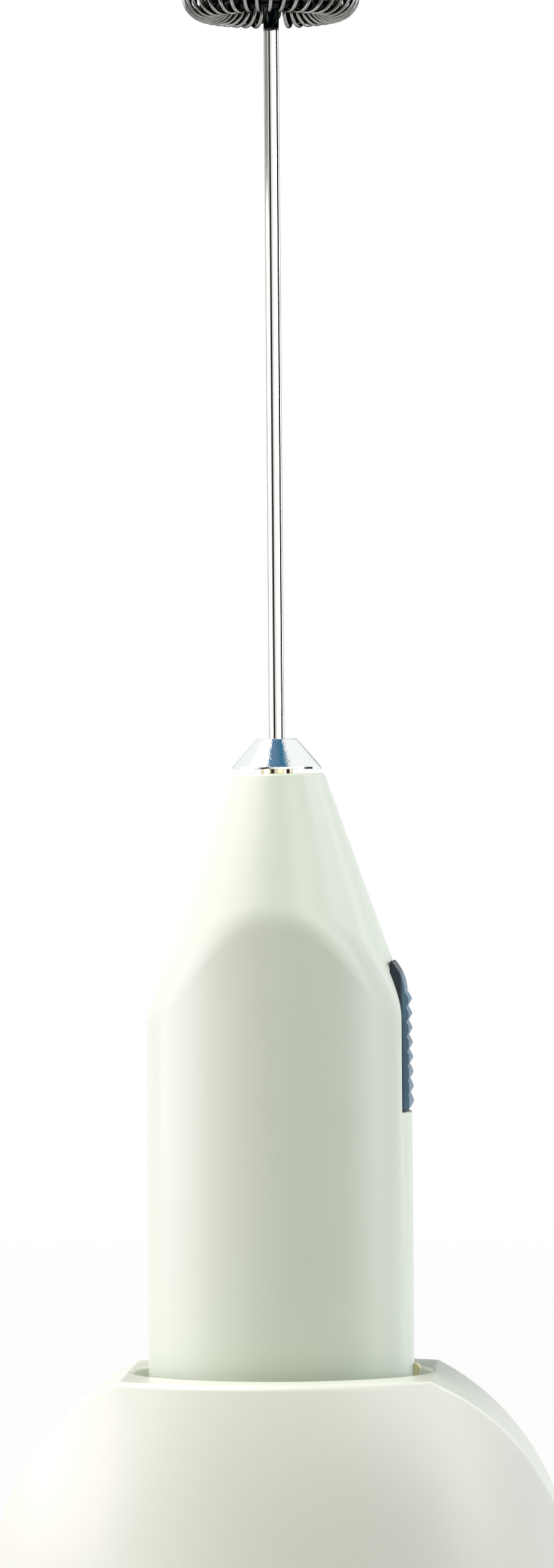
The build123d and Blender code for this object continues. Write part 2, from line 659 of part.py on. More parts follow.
def make_whisk_shaft():
    """One wire: straight shaft, bent out along a spoke and round into the ring."""
    knee = RING_Z - SHAFT_BEND
    spoke_end = math.sqrt(RING_RADIUS**2 - 2 * RING_RADIUS * RING_BEND)
    swing = math.pi - math.acos(RING_BEND / (RING_RADIUS - RING_BEND))
    join = math.pi - math.atan2(spoke_end, RING_BEND)
    last = math.radians(RING_END_ANGLE + 360)
    half = (join + last) / 2

    def ring_spot(angle):
        return (RING_RADIUS * math.cos(angle), RING_RADIUS * math.sin(angle), RING_Z)

    elbow_x = RING_BEND * (math.cos(swing / 2) - 1)
    elbow = (elbow_x, spoke_end + RING_BEND * math.sin(swing / 2), RING_Z)
    path = Wire([
        Line((0, 0, SHAFT_MEET), (0, 0, knee)),
        TangentArc((0, 0, knee), (0, SHAFT_BEND, RING_Z), tangent=(0, 0, 1)),
        Line((0, SHAFT_BEND, RING_Z), (0, spoke_end, RING_Z)),
        ThreePointArc((0, spoke_end, RING_Z), elbow, ring_spot(join)),
        ThreePointArc(ring_spot(join), ring_spot((join + half) / 2), ring_spot(half)),
        ThreePointArc(ring_spot(half), ring_spot((half + last) / 2), ring_spot(last)),
    ])
    return sweep(Pos(0, 0, SHAFT_MEET) * Circle(WHISK_SHAFT_RADIUS), path=path)


def coil_spot(turn):
    """Point on the coil's centre line after so many turns, and its direction there."""
    pitch = math.radians(COIL_SWEEP_ANGLE) / COIL_TURNS
    angle = math.radians(COIL_START_ANGLE) + pitch * turn
    loop = 2 * math.pi * turn
    radius = RING_RADIUS + COIL_LOOP_RADIUS * math.cos(loop)
    height = COIL_Z + COIL_LOOP_RADIUS * math.sin(loop)
    spot = Vector(radius * math.cos(angle), radius * math.sin(angle), height)
    outward = Vector(math.cos(angle), math.sin(angle), 0)
    around = Vector(-math.sin(angle), math.cos(angle), 0)
    speed = outward * (-COIL_LOOP_RADIUS * math.sin(loop) * 2 * math.pi)
    speed += Vector(0, 0, COIL_LOOP_RADIUS * math.cos(loop) * 2 * math.pi)
    speed += around * (radius * pitch)
    return spot, speed.normalized()


def biarc(start, start_way, end, end_way):
    """Two arcs that leave start and reach end in the given directions."""
    chord = end - start
    ways = start_way + end_way
    a = 2 * (1 - start_way.dot(end_way))
    b = 2 * chord.dot(ways)
    c = -chord.dot(chord)
    reach = (-b + math.sqrt(b * b - 4 * a * c)) / (2 * a)
    middle = (start + start_way * reach + end - end_way * reach) * 0.5
    middle_way = (chord - ways * reach).normalized()
    return [TangentArc(start, middle, tangent=start_way), TangentArc(middle, end, tangent=middle_way)]


def make_whisk_coil():
    """Spring wire wound round the whisk ring in one unbroken run."""
    first, first_way = coil_spot(0)
    tail = 2 * COIL_WIRE_RADIUS
    edges = [Line(first - first_way * tail, first)]
    for half_turn in range(2 * COIL_TURNS):
        start, start_way = coil_spot(half_turn / 2)
        end, end_way = coil_spot((half_turn + 1) / 2)
        edges += biarc(start, start_way, end, end_way)
    last, last_way = coil_spot(COIL_TURNS)
    edges.append(Line(last, last + last_way * tail))
    print("whisk coil: least gap to itself %.3f mm" % coil_gap(edges))
    begin = first - first_way * tail
    section = Plane(origin=begin, z_dir=first_way) * Circle(COIL_WIRE_RADIUS)
    return sweep(section, path=Wire(edges))


def coil_gap(edges):
    """Least gap between neighbouring turns, measured on points along the centre line."""
    steps = 12
    points = [edge.position_at(step / steps) for edge in edges for step in range(steps)]
    turn = 4 * steps
    least = math.inf
    for index, point in enumerate(points):
        for other in points[index + turn // 2:index + 2 * turn]:
            least = min(least, (point - other).length)
    return least - 2 * COIL_WIRE_RADIUS


def make_switch_button():
    """Slide button: thumb ramp and crowned teeth, and a stem with a foot inside the body."""
    back = SWITCH_FLOOR + SLIDE_FIT
    tip = GRIP_HALF_WIDTH + TOOTH_PROUD
    high = SWITCH_LOW + SWITCH_LENGTH
    spots = [(back, 0, SWITCH_LOW)]
    for index in range(TOOTH_COUNT):
        crest = tip - TEETH_LEAN * index / TOOTH_COUNT
        spots.append((crest - TOOTH_DEPTH, 0, SWITCH_LOW + index * TOOTH_PITCH))
        spots.append((crest, 0, SWITCH_LOW + (index + 0.5) * TOOTH_PITCH))
    root = tip - TEETH_LEAN - TOOTH_DEPTH
    teeth_top = SWITCH_LOW + TOOTH_COUNT * TOOTH_PITCH
    spots.append((root, 0, teeth_top))
    spots.append((root, 0, teeth_top + THUMB_FLAT))
    ramp_end = (back + THUMB_TIP, 0, high)
    edges = list(Polyline(*spots).edges())
    edges.append(TangentArc(spots[-1], ramp_end, tangent=(0, 0, 1)))
    edges.append(Line(ramp_end, (back, 0, high)))
    edges.append(Line((back, 0, high), spots[0]))
    pad = extrude(make_face(edges), amount=2 * SWITCH_HALF_WIDTH, dir=(0, 1, 0))
    crown = drum(SWITCH_CROWN_RADIUS, SWITCH_LOW - PAST, high + PAST, tip - SWITCH_CROWN_RADIUS)
    button = Pos(0, -SWITCH_HALF_WIDTH, 0) * pad & crown
    stem_low = SWITCH_LOW + STEM_LIFT
    stem_high = stem_low + STEM_LENGTH
    stem_corner = (back + THUMB_TIP, STEM_HALF_WIDTH, stem_high)
    button += block((BLADE_OUT, -STEM_HALF_WIDTH, stem_low), stem_corner)
    foot_low = (stem_low + stem_high - FOOT_PLATE_LENGTH) / 2
    foot_corner = (FOOT_PLATE_OUT, FOOT_PLATE_HALF_WIDTH, foot_low + FOOT_PLATE_LENGTH)
    return button + block((BLADE_OUT, -FOOT_PLATE_HALF_WIDTH, foot_low), foot_corner)


def make_switch_contact():
    """Sprung blade on the button's foot, with two dimples that ride on the strips."""
    upper = FEED_TOP + TERMINAL_SPLIT / 2
    lower = upper - DIMPLE_SPACING
    middle = (upper + lower) / 2
    low = (BLADE_IN, -BLADE_HALF_WIDTH, middle - BLADE_LENGTH / 2)
    blade = block(low, (BLADE_OUT, BLADE_HALF_WIDTH, middle + BLADE_LENGTH / 2))
    for z in (lower, upper):
        dimple = Rot(90, 0, 0) * Cylinder(DIMPLE_RADIUS, 2 * (BLADE_HALF_WIDTH - DIMPLE_INSET))
        dimple = Pos(BLADE_IN, 0, z) * dimple
        blade += dimple & block((0, -ACROSS, 0), (BLADE_IN + STRIP / 2, ACROSS, z + ACROSS))
    return blade


def cell(bottom):
    """One cell standing on bottom with its nub up."""
    shoulder = bottom + CELL_LENGTH - CELL_NUB_HEIGHT
    can = drum(CELL_RADIUS, bottom, shoulder)
    can = fillet(can.edges().filter_by(GeomType.CIRCLE), CELL_ROUND)
    return can + drum(CELL_NUB_RADIUS, shoulder, bottom + CELL_LENGTH)


def make_battery_left():
    """Cell with its nub up."""
    return Pos(-CELL_X, 0, 0) * cell(LEFT_CELL_BOTTOM)


def make_battery_right():
    """Cell with its nub down."""
    middle = RIGHT_CELL_BOTTOM + CELL_LENGTH / 2
    return Pos(CELL_X, 0, middle) * Rot(180, 0, 0) * Pos(0, 0, -CELL_LENGTH / 2) * cell(0)


def leaf(x, base, way):
    """Bowed contact leaf over a cell end, sprung from the level base, up (way 1) or down (way -1)."""
    side = math.copysign(1, x)
    middle = abs(x)
    inner = middle - PAD_HALF_LENGTH
    outer = middle + PAD_HALF_LENGTH - LEAF_SHORT
    crest = LEAF_RISE - STRIP
    near, far = middle - LEAF_CREST, middle + LEAF_CREST
    under = [(inner, -STRIP / 4), (near, crest), (far, crest), (outer, LEAF_TIP)]
    over = [(outer, LEAF_TIP + STRIP), (far, LEAF_RISE), (near, LEAF_RISE), (inner, STRIP)]
    points = [(side * px, base + way * pz) for px, pz in under + over]
    return upright_plate(points, LEAF_HALF_WIDTH)


def make_contact_positive():
    """Flat contact over the left cell's nub, with a riser to the motor's tab."""
    low = (-CELL_X - PAD_HALF_LENGTH, -PAD_HALF_WIDTH, PLATE_BOTTOM)
    strip = block(low, (-CELL_X + PAD_HALF_LENGTH, PAD_HALF_WIDTH, BULKHEAD_BOTTOM))
    strip += block((-STRIP_OUT, -RISER_HALF_WIDTH, PLATE_BOTTOM), (-POST_OUT, RISER_HALF_WIDTH, TAB_Z))
    reach = TAIL_OFFSET + TAIL_WIDTH
    low = (-STRIP_OUT, -reach, TAB_Z - TAB_OVERLAP)
    strip += block(low, (-POST_OUT, RISER_HALF_WIDTH, TAB_Z + STRIP + TAB_OVERLAP))
    return strip


def make_contact_negative():
    """Leaf contact over the right cell, running up the post as the switch's feed strip."""
    low = (CELL_X - PAD_HALF_LENGTH, -PAD_HALF_WIDTH, PLATE_BOTTOM)
    strip = block(low, (CELL_X + PAD_HALF_LENGTH, PAD_HALF_WIDTH, BULKHEAD_BOTTOM))
    strip += leaf(CELL_X, PLATE_BOTTOM, -1)
    riser_corner = (STRIP_OUT, RISER_HALF_WIDTH, FEED_TOP)
    return strip + block((POST_OUT, -RISER_HALF_WIDTH, PLATE_BOTTOM), riser_corner)


def make_switch_terminal():
    """Strip from the switch's upper pad round and down to the motor's tab."""
    pad_low = FEED_TOP + TERMINAL_SPLIT
    far = TAIL_OFFSET + TAIL_WIDTH
    strip = block((POST_OUT, -RISER_HALF_WIDTH, pad_low), (STRIP_OUT, RISER_HALF_WIDTH, PAD_TOP))
    strip += block((POST_OUT, -RISER_HALF_WIDTH, PAD_TOP - TAIL_WIDTH), (STRIP_OUT, far, PAD_TOP))
    return strip + block((POST_OUT, TAIL_OFFSET, TAB_Z - TAB_OVERLAP), (STRIP_OUT, far, PAD_TOP))


def make_end_cap():
    """Plug that closes the body, with two tongues and a grip slot underneath."""
    fit = BODY_WALL + SLIDE_FIT
    cap = prism(-fit, CAP_BOTTOM, CAP_TOP)
    tongue_top = CAP_TOP + CAP_TONGUE_HEIGHT
    ring = prism(-fit, CAP_TOP, tongue_top)
    ring -= prism(-fit - CAP_TONGUE_THICKNESS, CAP_TOP - PAST, tongue_top + PAST)
    width = CAP_TONGUE_HALF_WIDTH
    cap += ring & block((-width, -ACROSS, CAP_TOP), (width, ACROSS, tongue_top))
    low = (-CAP_GRIP_HALF_LENGTH, -CAP_GRIP_HALF_WIDTH, CAP_BOTTOM - PAST)
    return cap - block(low, (CAP_GRIP_HALF_LENGTH, CAP_GRIP_HALF_WIDTH, CAP_BOTTOM + CAP_GRIP_DEPTH))


def make_bridge_contact():
    """Strip on the cap that joins the two cells, flat on the right and a leaf on the left."""
    end = CELL_X + PAD_HALF_LENGTH
    strip = block((-end, -PAD_HALF_WIDTH, CAP_TOP), (end, PAD_HALF_WIDTH, BRIDGE_TOP))
    return strip + leaf(-CELL_X, BRIDGE_TOP, 1)


os.makedirs("parts", exist_ok=True)

NODES = {
    "stand_shell": make_stand_shell,
    "stand_base_plate": make_stand_base_plate,
    "stand_feet": make_stand_feet,
    "body_shell": make_body_shell,
    "nose_bush": make_nose_bush,
    "chassis": make_chassis,
    "motor_can": make_motor_can,
    "motor_end_bell": make_motor_end_bell,
    "motor_magnets": make_motor_magnets,
    "motor_bearings": make_motor_bearings,
    "motor_brushes": make_motor_brushes,
    "motor_terminals": make_motor_terminals,
    "rotor_shaft": make_rotor_shaft,
    "rotor_core": make_rotor_core,
    "rotor_windings": make_rotor_windings,
    "commutator_sleeve": make_commutator_sleeve,
    "commutator_segments": make_commutator_segments,
    "drive_coupling": make_drive_coupling,
    "splash_cone": make_splash_cone,
    "whisk_shaft": make_whisk_shaft,
    "whisk_coil": make_whisk_coil,
    "switch_button": make_switch_button,
    "switch_contact": make_switch_contact,
    "switch_terminal": make_switch_terminal,
    "contact_positive": make_contact_positive,
    "contact_negative": make_contact_negative,
    "battery_left": make_battery_left,
    "battery_right": make_battery_right,
    "end_cap": make_end_cap,
    "bridge_contact": make_bridge_contact,
}

for name, make in NODES.items():
    made = make()
    if isinstance(made, list):
        made = Compound(children=made)
    made.label = name
    export_step(made, "parts/" + name + ".step")
    print(name, "volume %.1f mm3" % made.volume, "solids", len(made.solids()))
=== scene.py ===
import math

import bmesh
import bpy
from bpy.props import FloatProperty, FloatVectorProperty, IntProperty, PointerProperty
from mathutils import Matrix, Quaternion, Vector


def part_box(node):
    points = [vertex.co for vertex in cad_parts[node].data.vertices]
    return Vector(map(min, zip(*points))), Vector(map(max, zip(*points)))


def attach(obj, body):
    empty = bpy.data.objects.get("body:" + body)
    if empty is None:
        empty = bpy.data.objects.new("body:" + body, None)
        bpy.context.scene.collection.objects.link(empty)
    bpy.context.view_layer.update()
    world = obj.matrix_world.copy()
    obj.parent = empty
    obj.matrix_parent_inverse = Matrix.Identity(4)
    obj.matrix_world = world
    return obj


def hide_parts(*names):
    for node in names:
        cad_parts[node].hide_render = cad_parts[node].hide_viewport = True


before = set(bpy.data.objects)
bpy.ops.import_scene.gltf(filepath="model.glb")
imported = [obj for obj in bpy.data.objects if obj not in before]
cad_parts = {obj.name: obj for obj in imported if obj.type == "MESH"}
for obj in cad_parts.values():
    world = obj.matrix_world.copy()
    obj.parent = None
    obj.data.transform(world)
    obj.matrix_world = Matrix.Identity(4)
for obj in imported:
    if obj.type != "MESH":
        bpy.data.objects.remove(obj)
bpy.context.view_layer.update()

bl_info = {
    "name": "Milk frother",
    "version": (1, 0, 0),
    "blender": (4, 5, 0),
    "location": "View3D > Sidebar > Frother",
    "description": "Finishes the milk frother and its counter stand, and sets up the studio round them",
    "category": "Object",
}

MM = 0.001

# Places that the pieces made here take from the frame
COIL_LOW, COIL_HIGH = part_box("whisk_coil")
SWITCH_LOW, SWITCH_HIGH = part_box("switch_button")
BODY_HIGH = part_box("body_shell")[1]
SHAFT_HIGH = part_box("whisk_shaft")[1]
SHAFT_RADIUS = 1.0 * MM
COIL_LEVEL = (COIL_LOW.z + COIL_HIGH.z) / 2
# The spring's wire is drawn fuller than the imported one, inside the same outline
WIRE_RADIUS = 0.28 * MM
LOOP_RADIUS = (COIL_HIGH.z - COIL_LOW.z) / 2 - WIRE_RADIUS
RING_RADIUS = COIL_HIGH.x - LOOP_RADIUS - WIRE_RADIUS

# Where painted light and shade start to show over a finish's own colour, and where they are full
LUG_GLOW_START, LUG_GLOW_FULL = 0.78 * MM, 0.702 * MM  # in from the lug's tip
RECESS_SHADE_START, RECESS_SHADE_FULL = 1.05 * MM, 1.6 * MM  # in from the button's tip
DARK_REFLECTION_START, DARK_REFLECTION_FULL = 2.2 * MM, 1.5 * MM  # down from the ring
WIRE_TURN = 0.35  # of the wire's radius, each way from its middle

# Fineness of the meshes made here
POINTS_A_LOOP = 48
WIRE_SIDES = 12
FLANK_STEPS = 10
RIB_STEPS = 20
PAD_STEPS = 24
RAMP_STEPS = 16
FLOOR_SIDES = 96
SHARP_ANGLE = math.radians(25)
WIRE_SHARP_ANGLE = math.radians(60)

RIB_WIDTH = 0.998  # of the pad's, so that their sides don't lie in one plane
EDGE_DROP = 0.5  # height of the pad's edge rounding over its width
CORNER_CUT = 1 / 8  # of a block's half width

# Noise keeps near its middle, so this part of it is drawn out to the whole range
NOISE_SPREAD = {"From Min": 0.2, "From Max": 0.8}

SENSOR_WIDTH = 36
FOOT_LEVEL = 25 * MM  # what the slanted reflector faces, low on the stand
FLOOR_REACH = 0.9
FLOOR_FADE_START = 0.25
FLOOR_LIFT = 0.92  # share of white that the eye sees, over the shadow


def linear(code):
    """sRGB hex, such as ECEBDD, as a linear colour with alpha."""
    parts = [int(code[i:i + 2], 16) / 255 for i in (0, 2, 4)]
    return [p / 12.92 if p <= 0.04045 else ((p + 0.055) / 1.055) ** 2.4 for p in parts] + [1.0]


def per_mm(size):
    """Texture scale at which one feature is so many millimetres across."""
    return 1 / (size * MM)


def add(tree, kind, inputs=(), **settings):
    """Adds a node. Settings are its fields; inputs maps its sockets to values, sockets or nodes."""
    node = tree.nodes.new(kind)
    for field, value in settings.items():
        setattr(node, field, value)
    for socket, value in dict(inputs).items():
        if isinstance(value, bpy.types.Node):
            value = value.outputs[0]
        if isinstance(value, bpy.types.NodeSocket):
            tree.links.new(value, node.inputs[socket])
        else:
            node.inputs[socket].default_value = value
    return node


def blank(data):
    """Node tree of a new material or world, with nothing in it."""
    data.use_nodes = True
    data.node_tree.nodes.clear()
    return data.node_tree


def share_between(tree, value, start, full):
    """Share that rises smoothly from 0 at the start value to 1 at the full one."""
    return add(
        tree, "ShaderNodeMapRange", {"Value": value, "From Min": start, "From Max": full},
        interpolation_type="SMOOTHSTEP")


class FrotherWhisk(bpy.types.PropertyGroup):
    """Sizes of the spring that is wound round the whisk ring."""
    ring_radius: FloatProperty(
        name="Ring radius", description="Shaft axis to the middle of the loops",
        default=RING_RADIUS, unit="LENGTH", precision=5)
    loop_radius: FloatProperty(
        name="Loop radius", description="Middle of the wire, round one loop",
        default=LOOP_RADIUS, unit="LENGTH", precision=5)
    wire_radius: FloatProperty(
        name="Wire radius", description="Half the spring wire's thickness",
        default=WIRE_RADIUS, unit="LENGTH", precision=5)
    height: FloatProperty(
        name="Height", description="Level of the middle of the loops",
        default=COIL_LEVEL, unit="LENGTH", precision=5)
    turns: IntProperty(name="Turns", description="Loops in the spring", default=37, min=1)
    start: FloatProperty(
        name="Start", description="Direction of the first loop",
        default=math.radians(99.5), subtype="ANGLE")
    sweep: FloatProperty(
        name="Sweep", description="How far round the ring the spring reaches",
        default=math.radians(340.5), subtype="ANGLE")
    unevenness: FloatProperty(
        name="Unevenness", description="How far a loop strays from its even place",
        default=0.05 * MM, unit="LENGTH", precision=5)


class FrotherSwitch(bpy.types.PropertyGroup):
    """Sizes of the slide button."""
    back: FloatProperty(
        name="Back", description="Shaft axis to the flat back of the button",
        default=14.75 * MM, unit="LENGTH", precision=5)
    teeth: IntProperty(name="Teeth", description="Ribs under the thumb", default=8, min=1)
    pitch: FloatProperty(
        name="Pitch", description="Height of one rib",
        default=1.88 * MM, unit="LENGTH", precision=5)
    depth: FloatProperty(
        name="Depth", description="How far a rib stands out from its root",
        default=0.55 * MM, unit="LENGTH", precision=5)
    lean: FloatProperty(
        name="Lean", description="How much less the highest rib stands out than the lowest",
        default=0.3 * MM, unit="LENGTH", precision=5)
    crown: FloatProperty(
        name="Crown", description="Radius of the ribs' tips across the button",
        default=18 * MM, unit="LENGTH", precision=5)
    thumb_flat: FloatProperty(
        name="Thumb flat", description="Plain length between the ribs and the ramp",
        default=0.2 * MM, unit="LENGTH", precision=5)
    thumb_tip: FloatProperty(
        name="Thumb tip", description="Thickness left at the top of the ramp",
        default=0.3 * MM, unit="LENGTH", precision=5)
    edge: FloatProperty(
        name="Edge", description="Rounding of the button's long edges",
        default=0.35 * MM, unit="LENGTH", precision=5)
    stem_lift: FloatProperty(
        name="Stem lift", description="Bottom of the button to the stem on its inner side",
        default=7.4 * MM, unit="LENGTH", precision=5)
    stem_length: FloatProperty(
        name="Stem length", description="Stem along the slide",
        default=3.0 * MM, unit="LENGTH", precision=5)
    stem_half_width: FloatProperty(
        name="Stem half width", description="Half the stem across the slide",
        default=1.5 * MM, unit="LENGTH", precision=5)
    foot_length: FloatProperty(
        name="Foot length", description="Foot plate along the slide",
        default=6.8 * MM, unit="LENGTH", precision=5)
    foot_half_width: FloatProperty(
        name="Foot half width", description="Half the foot plate across the slide",
        default=2.6 * MM, unit="LENGTH", precision=5)
    foot_thickness: FloatProperty(
        name="Foot thickness", description="Foot plate in the direction of the stem",
        default=1.2 * MM, unit="LENGTH", precision=5)


class FrotherColours(bpy.types.PropertyGroup):
    """Base colours of the finishes that show."""
    body: FloatVectorProperty(
        name="Body", description="Ivory of the frother's body",
        size=4, subtype="COLOR", min=0, max=1, default=linear("D9E4D2"))
    stand: FloatVectorProperty(
        name="Stand", description="Ivory of the counter stand",
        size=4, subtype="COLOR", min=0, max=1, default=linear("E1E7D9"))
    switch: FloatVectorProperty(
        name="Switch", description="Blue-grey of the slide button",
        size=4, subtype="COLOR", min=0, max=1, default=linear("587B90"))
    collar: FloatVectorProperty(
        name="Collar", description="Aluminium of the splash cone",
        size=4, subtype="COLOR", min=0, max=1, default=linear("F8FAFA"))
    steel: FloatVectorProperty(
        name="Steel", description="Stainless steel of the shaft and the spring",
        size=4, subtype="COLOR", min=0, max=1, default=linear("E4E4DF"))


class FrotherStudio(bpy.types.PropertyGroup):
    """Camera and light."""
    camera_distance: FloatProperty(
        name="Camera distance", description="Camera to the shaft axis", default=0.8, unit="LENGTH")
    camera_height: FloatProperty(
        name="Camera height", description="Level of the camera, which looks straight ahead",
        default=116 * MM, unit="LENGTH")
    camera_turn: FloatProperty(
        name="Camera turn", description="How far the camera has moved round to the switch side",
        default=math.radians(3.5), subtype="ANGLE")
    camera_roll: FloatProperty(
        name="Camera roll", description="Tilt of the picture",
        default=math.radians(-0.45), subtype="ANGLE")
    lens: FloatProperty(
        name="Lens", description="Focal length in millimetres, for 36 mm along the long side",
        default=141.75)
    key_power: FloatProperty(
        name="Key", description="Large softbox at the left", default=7.0, unit="POWER")
    rim_power: FloatProperty(
        name="Rim", description="Tall softbox at the right", default=10.2, unit="POWER")
    top_power: FloatProperty(
        name="Top", description="Softbox high up at the left", default=12.0, unit="POWER")
    ambient: FloatProperty(
        name="Ambient", description="Light from the white room", default=0.04)


def surface(
        name, dark, light, tone, gloss, gloss_grain, relief, depth,
        stretch=(1, 1, 1), painted_light=None, **constants):
    """Finish whose colour, gloss and relief come from three noises of real sizes in millimetres.

    dark and light are the two ends of the colour, tone the size of its patches. gloss holds the
    lowest and highest roughness, gloss_grain the size of its patches. relief is the size of the
    bumps and depth their height. stretch draws the grain out along X, Y and Z. painted_light is
    a colour painted over the finish in place of light or shade, and the function that gives its
    share at a place. constants fill the shader's other sockets, with _ for a space.
    """
    material = bpy.data.materials.new(name)
    tree = blank(material)
    place = add(tree, "ShaderNodeTexCoord").outputs["Object"]
    drawn = add(tree, "ShaderNodeMapping", {"Vector": place, "Scale": [1 / s for s in stretch]})
    patches = add(tree, "ShaderNodeTexNoise", {"Vector": drawn, "Scale": per_mm(tone), "Detail": 1.0})
    share = add(tree, "ShaderNodeMapRange", {"Value": patches, **NOISE_SPREAD})
    colour = add(tree, "ShaderNodeMix", {0: share, 6: dark, 7: light}, data_type="RGBA")
    # Mixes in the painted light or shade, where one is given
    if painted_light:
        share = painted_light[1](tree, place)
        colour = add(
            tree, "ShaderNodeMix", {0: share, 6: colour.outputs[2], 7: painted_light[0]}, data_type="RGBA")
    smears = add(
        tree, "ShaderNodeTexNoise", {"Vector": drawn, "Scale": per_mm(gloss_grain), "Detail": 2.0})
    ends = {"To Min": gloss[0], "To Max": gloss[1]}
    roughness = add(tree, "ShaderNodeMapRange", {"Value": smears, **NOISE_SPREAD, **ends})
    bumps = add(tree, "ShaderNodeTexNoise", {"Vector": drawn, "Scale": per_mm(relief), "Detail": 1.0})
    normal = add(tree, "ShaderNodeBump", {"Height": bumps, "Strength": 1.0, "Distance": depth * MM})
    sockets = {key.replace("_", " "): value for key, value in constants.items()}
    shader = add(tree, "ShaderNodeBsdfPrincipled", {
        "Base Color": colour.outputs[2], "Roughness": roughness, "Normal": normal, **sockets})
    add(tree, "ShaderNodeOutputMaterial", {"Surface": shader})
    return material


def shade(colour, factor):
    """A colour made darker or lighter by a factor."""
    return [min(1.0, part * factor) for part in colour[:3]] + [1.0]


def lug_glow_share(tree, place):
    """Share of the painted warm glow on the lug, standing in for light bounced from the stand, which is
    all of the body that stands out past the grip's side.
    """
    out = add(tree, "ShaderNodeSeparateXYZ", {0: place}).outputs["X"]
    return share_between(tree, out, BODY_HIGH.x - LUG_GLOW_START, BODY_HIGH.x - LUG_GLOW_FULL)


def ivory_abs(name, colour, painted_light=None):
    """ABS from a polished tool: a soft gloss, with the faint waviness of a cooled skin."""
    return surface(
        name, shade(colour, 0.985), shade(colour, 1.01), tone=34, gloss=(0.28, 0.34),
        gloss_grain=9, relief=2.4, depth=0.0015, painted_light=painted_light, IOR=1.53)


def matt_abs():
    """ABS from a spark-eroded tool: even, fine and matt, as on an underside that nobody polishes."""
    return surface(
        "Matt_ivory_ABS", linear("D2CFC0"), linear("E0DDD0"), tone=18, gloss=(0.5, 0.62),
        gloss_grain=2, relief=0.35, depth=0.02, IOR=1.53)


def recess_shade_share(tree, place):
    """Share of the painted shade along the button's sides, where they sit in the body's recess."""
    out = add(tree, "ShaderNodeSeparateXYZ", {0: place}).outputs["X"]
    return share_between(tree, out, SWITCH_HIGH.x - RECESS_SHADE_START, SWITCH_HIGH.x - RECESS_SHADE_FULL)


def slate_abs(colour):
    """Blue-grey ABS, satin from a lightly eroded tool, so that the ribs show soft highlights."""
    # Painted shade: dark navy along the button's sides, where the recess shades them
    return surface(
        "Slate_ABS", shade(colour, 0.9), shade(colour, 1.08), tone=3, gloss=(0.32, 0.44),
        gloss_grain=0.8, relief=0.22, depth=0.004, painted_light=(linear("1E2C38"), recess_shade_share), IOR=1.53)


def black_abs():
    """Black moulding of the chassis, never seen by the user and left plain and matt."""
    return surface(
        "Black_ABS", linear("1C1D1F"), linear("2A2B2D"), tone=6, gloss=(0.45, 0.6),
        gloss_grain=1.5, relief=0.5, depth=0.01, IOR=1.53)


def rubber():
    """Moulded rubber of the feet: dull, with the dusty bloom that rubber gets."""
    return surface(
        "Black_rubber", linear("1F1F1F"), linear("333231"), tone=2.5, gloss=(0.75, 0.9),
        gloss_grain=1, relief=0.4, depth=0.02, IOR=1.52)


def nylon():
    """Natural nylon: milky, a little translucent at thin edges, with a waxy sheen."""
    return surface(
        "Natural_nylon", linear("DDDACB"), linear("EAE8DC"), tone=4, gloss=(0.38, 0.5),
        gloss_grain=1.2, relief=0.8, depth=0.006, IOR=1.53, Subsurface_Weight=0.1,
        Subsurface_Scale=1 * MM)


def white_acetal():
    """White acetal of the motor's end bell: smooth and slightly greasy to the eye."""
    return surface(
        "White_acetal", linear("E4E4DF"), linear("F0F0EC"), tone=5, gloss=(0.35, 0.45),
        gloss_grain=1.5, relief=1, depth=0.005, IOR=1.48)


def satin_aluminium(colour):
    """Turned and bead-blasted aluminium: soft light, with a fine sparkle where beads left facets.

    A blasted grain is near 0.05 mm; it is drawn at 0.16 mm, so that it shows.
    """
    return surface(
        "Satin_aluminium", shade(colour, 0.92), shade(colour, 1.04), tone=0.12, gloss=(0.06, 0.12),
        gloss_grain=0.3, relief=0.16, depth=0.018, Metallic=1.0, Specular_Tint=linear("F4F8FA"))


def coil_reflection_share(tree, place):
    """Share of the painted shade and dark reflection at the shaft's top: from just under the shaft's
    bend up to the ring's end.
    """
    level = add(tree, "ShaderNodeSeparateXYZ", {0: place}).outputs["Z"]
    ring = SHAFT_HIGH.z - 2 * SHAFT_RADIUS
    return share_between(tree, level, ring - DARK_REFLECTION_START, ring - DARK_REFLECTION_FULL)


def ground_steel(name, colour, painted_light=None):
    """Centreless-ground and polished stainless rod: mirror-like, with faint lines along it."""
    return surface(
        name, shade(colour, 0.93), shade(colour, 1.04), tone=0.4, gloss=(0.05, 0.11),
        gloss_grain=0.3, relief=0.25, depth=0.0006, stretch=(1, 1, 60), painted_light=painted_light, Metallic=1.0,
        Specular_Tint=linear("C4C6C0"))


def loop_inside_shade(tree, place):
    """Share of the wire that faces into its loop, where shade is painted."""
    flat = add(tree, "ShaderNodeVectorMath", {0: place, 1: (1, 1, 0)}, operation="MULTIPLY")
    radius = add(tree, "ShaderNodeVectorMath", {0: flat}, operation="LENGTH").outputs["Value"]
    level = add(tree, "ShaderNodeSeparateXYZ", {0: place}).outputs["Z"]
    around = add(tree, "ShaderNodeCombineXYZ", {0: radius, 1: level})
    middle = (RING_RADIUS, COIL_LEVEL, 0)
    away = add(tree, "ShaderNodeVectorMath", {0: around, 1: middle}, operation="DISTANCE")
    turn = WIRE_TURN * WIRE_RADIUS
    return share_between(tree, away.outputs["Value"], LOOP_RADIUS + turn, LOOP_RADIUS - turn)


def spring_wire(colour):
    """Drawn stainless spring wire: bright outside its loops, with painted shade inside them."""
    # Painted shade: near-black on the side of each loop that faces inside
    return surface(
        "Spring_steel_wire", shade(colour, 0.34), shade(colour, 0.52), tone=0.6, gloss=(0.1, 0.2),
        gloss_grain=0.3, relief=0.2, depth=0.002, painted_light=(linear("141616"), loop_inside_shade),
        Metallic=1.0, Specular_Tint=linear("3A3D3A"))


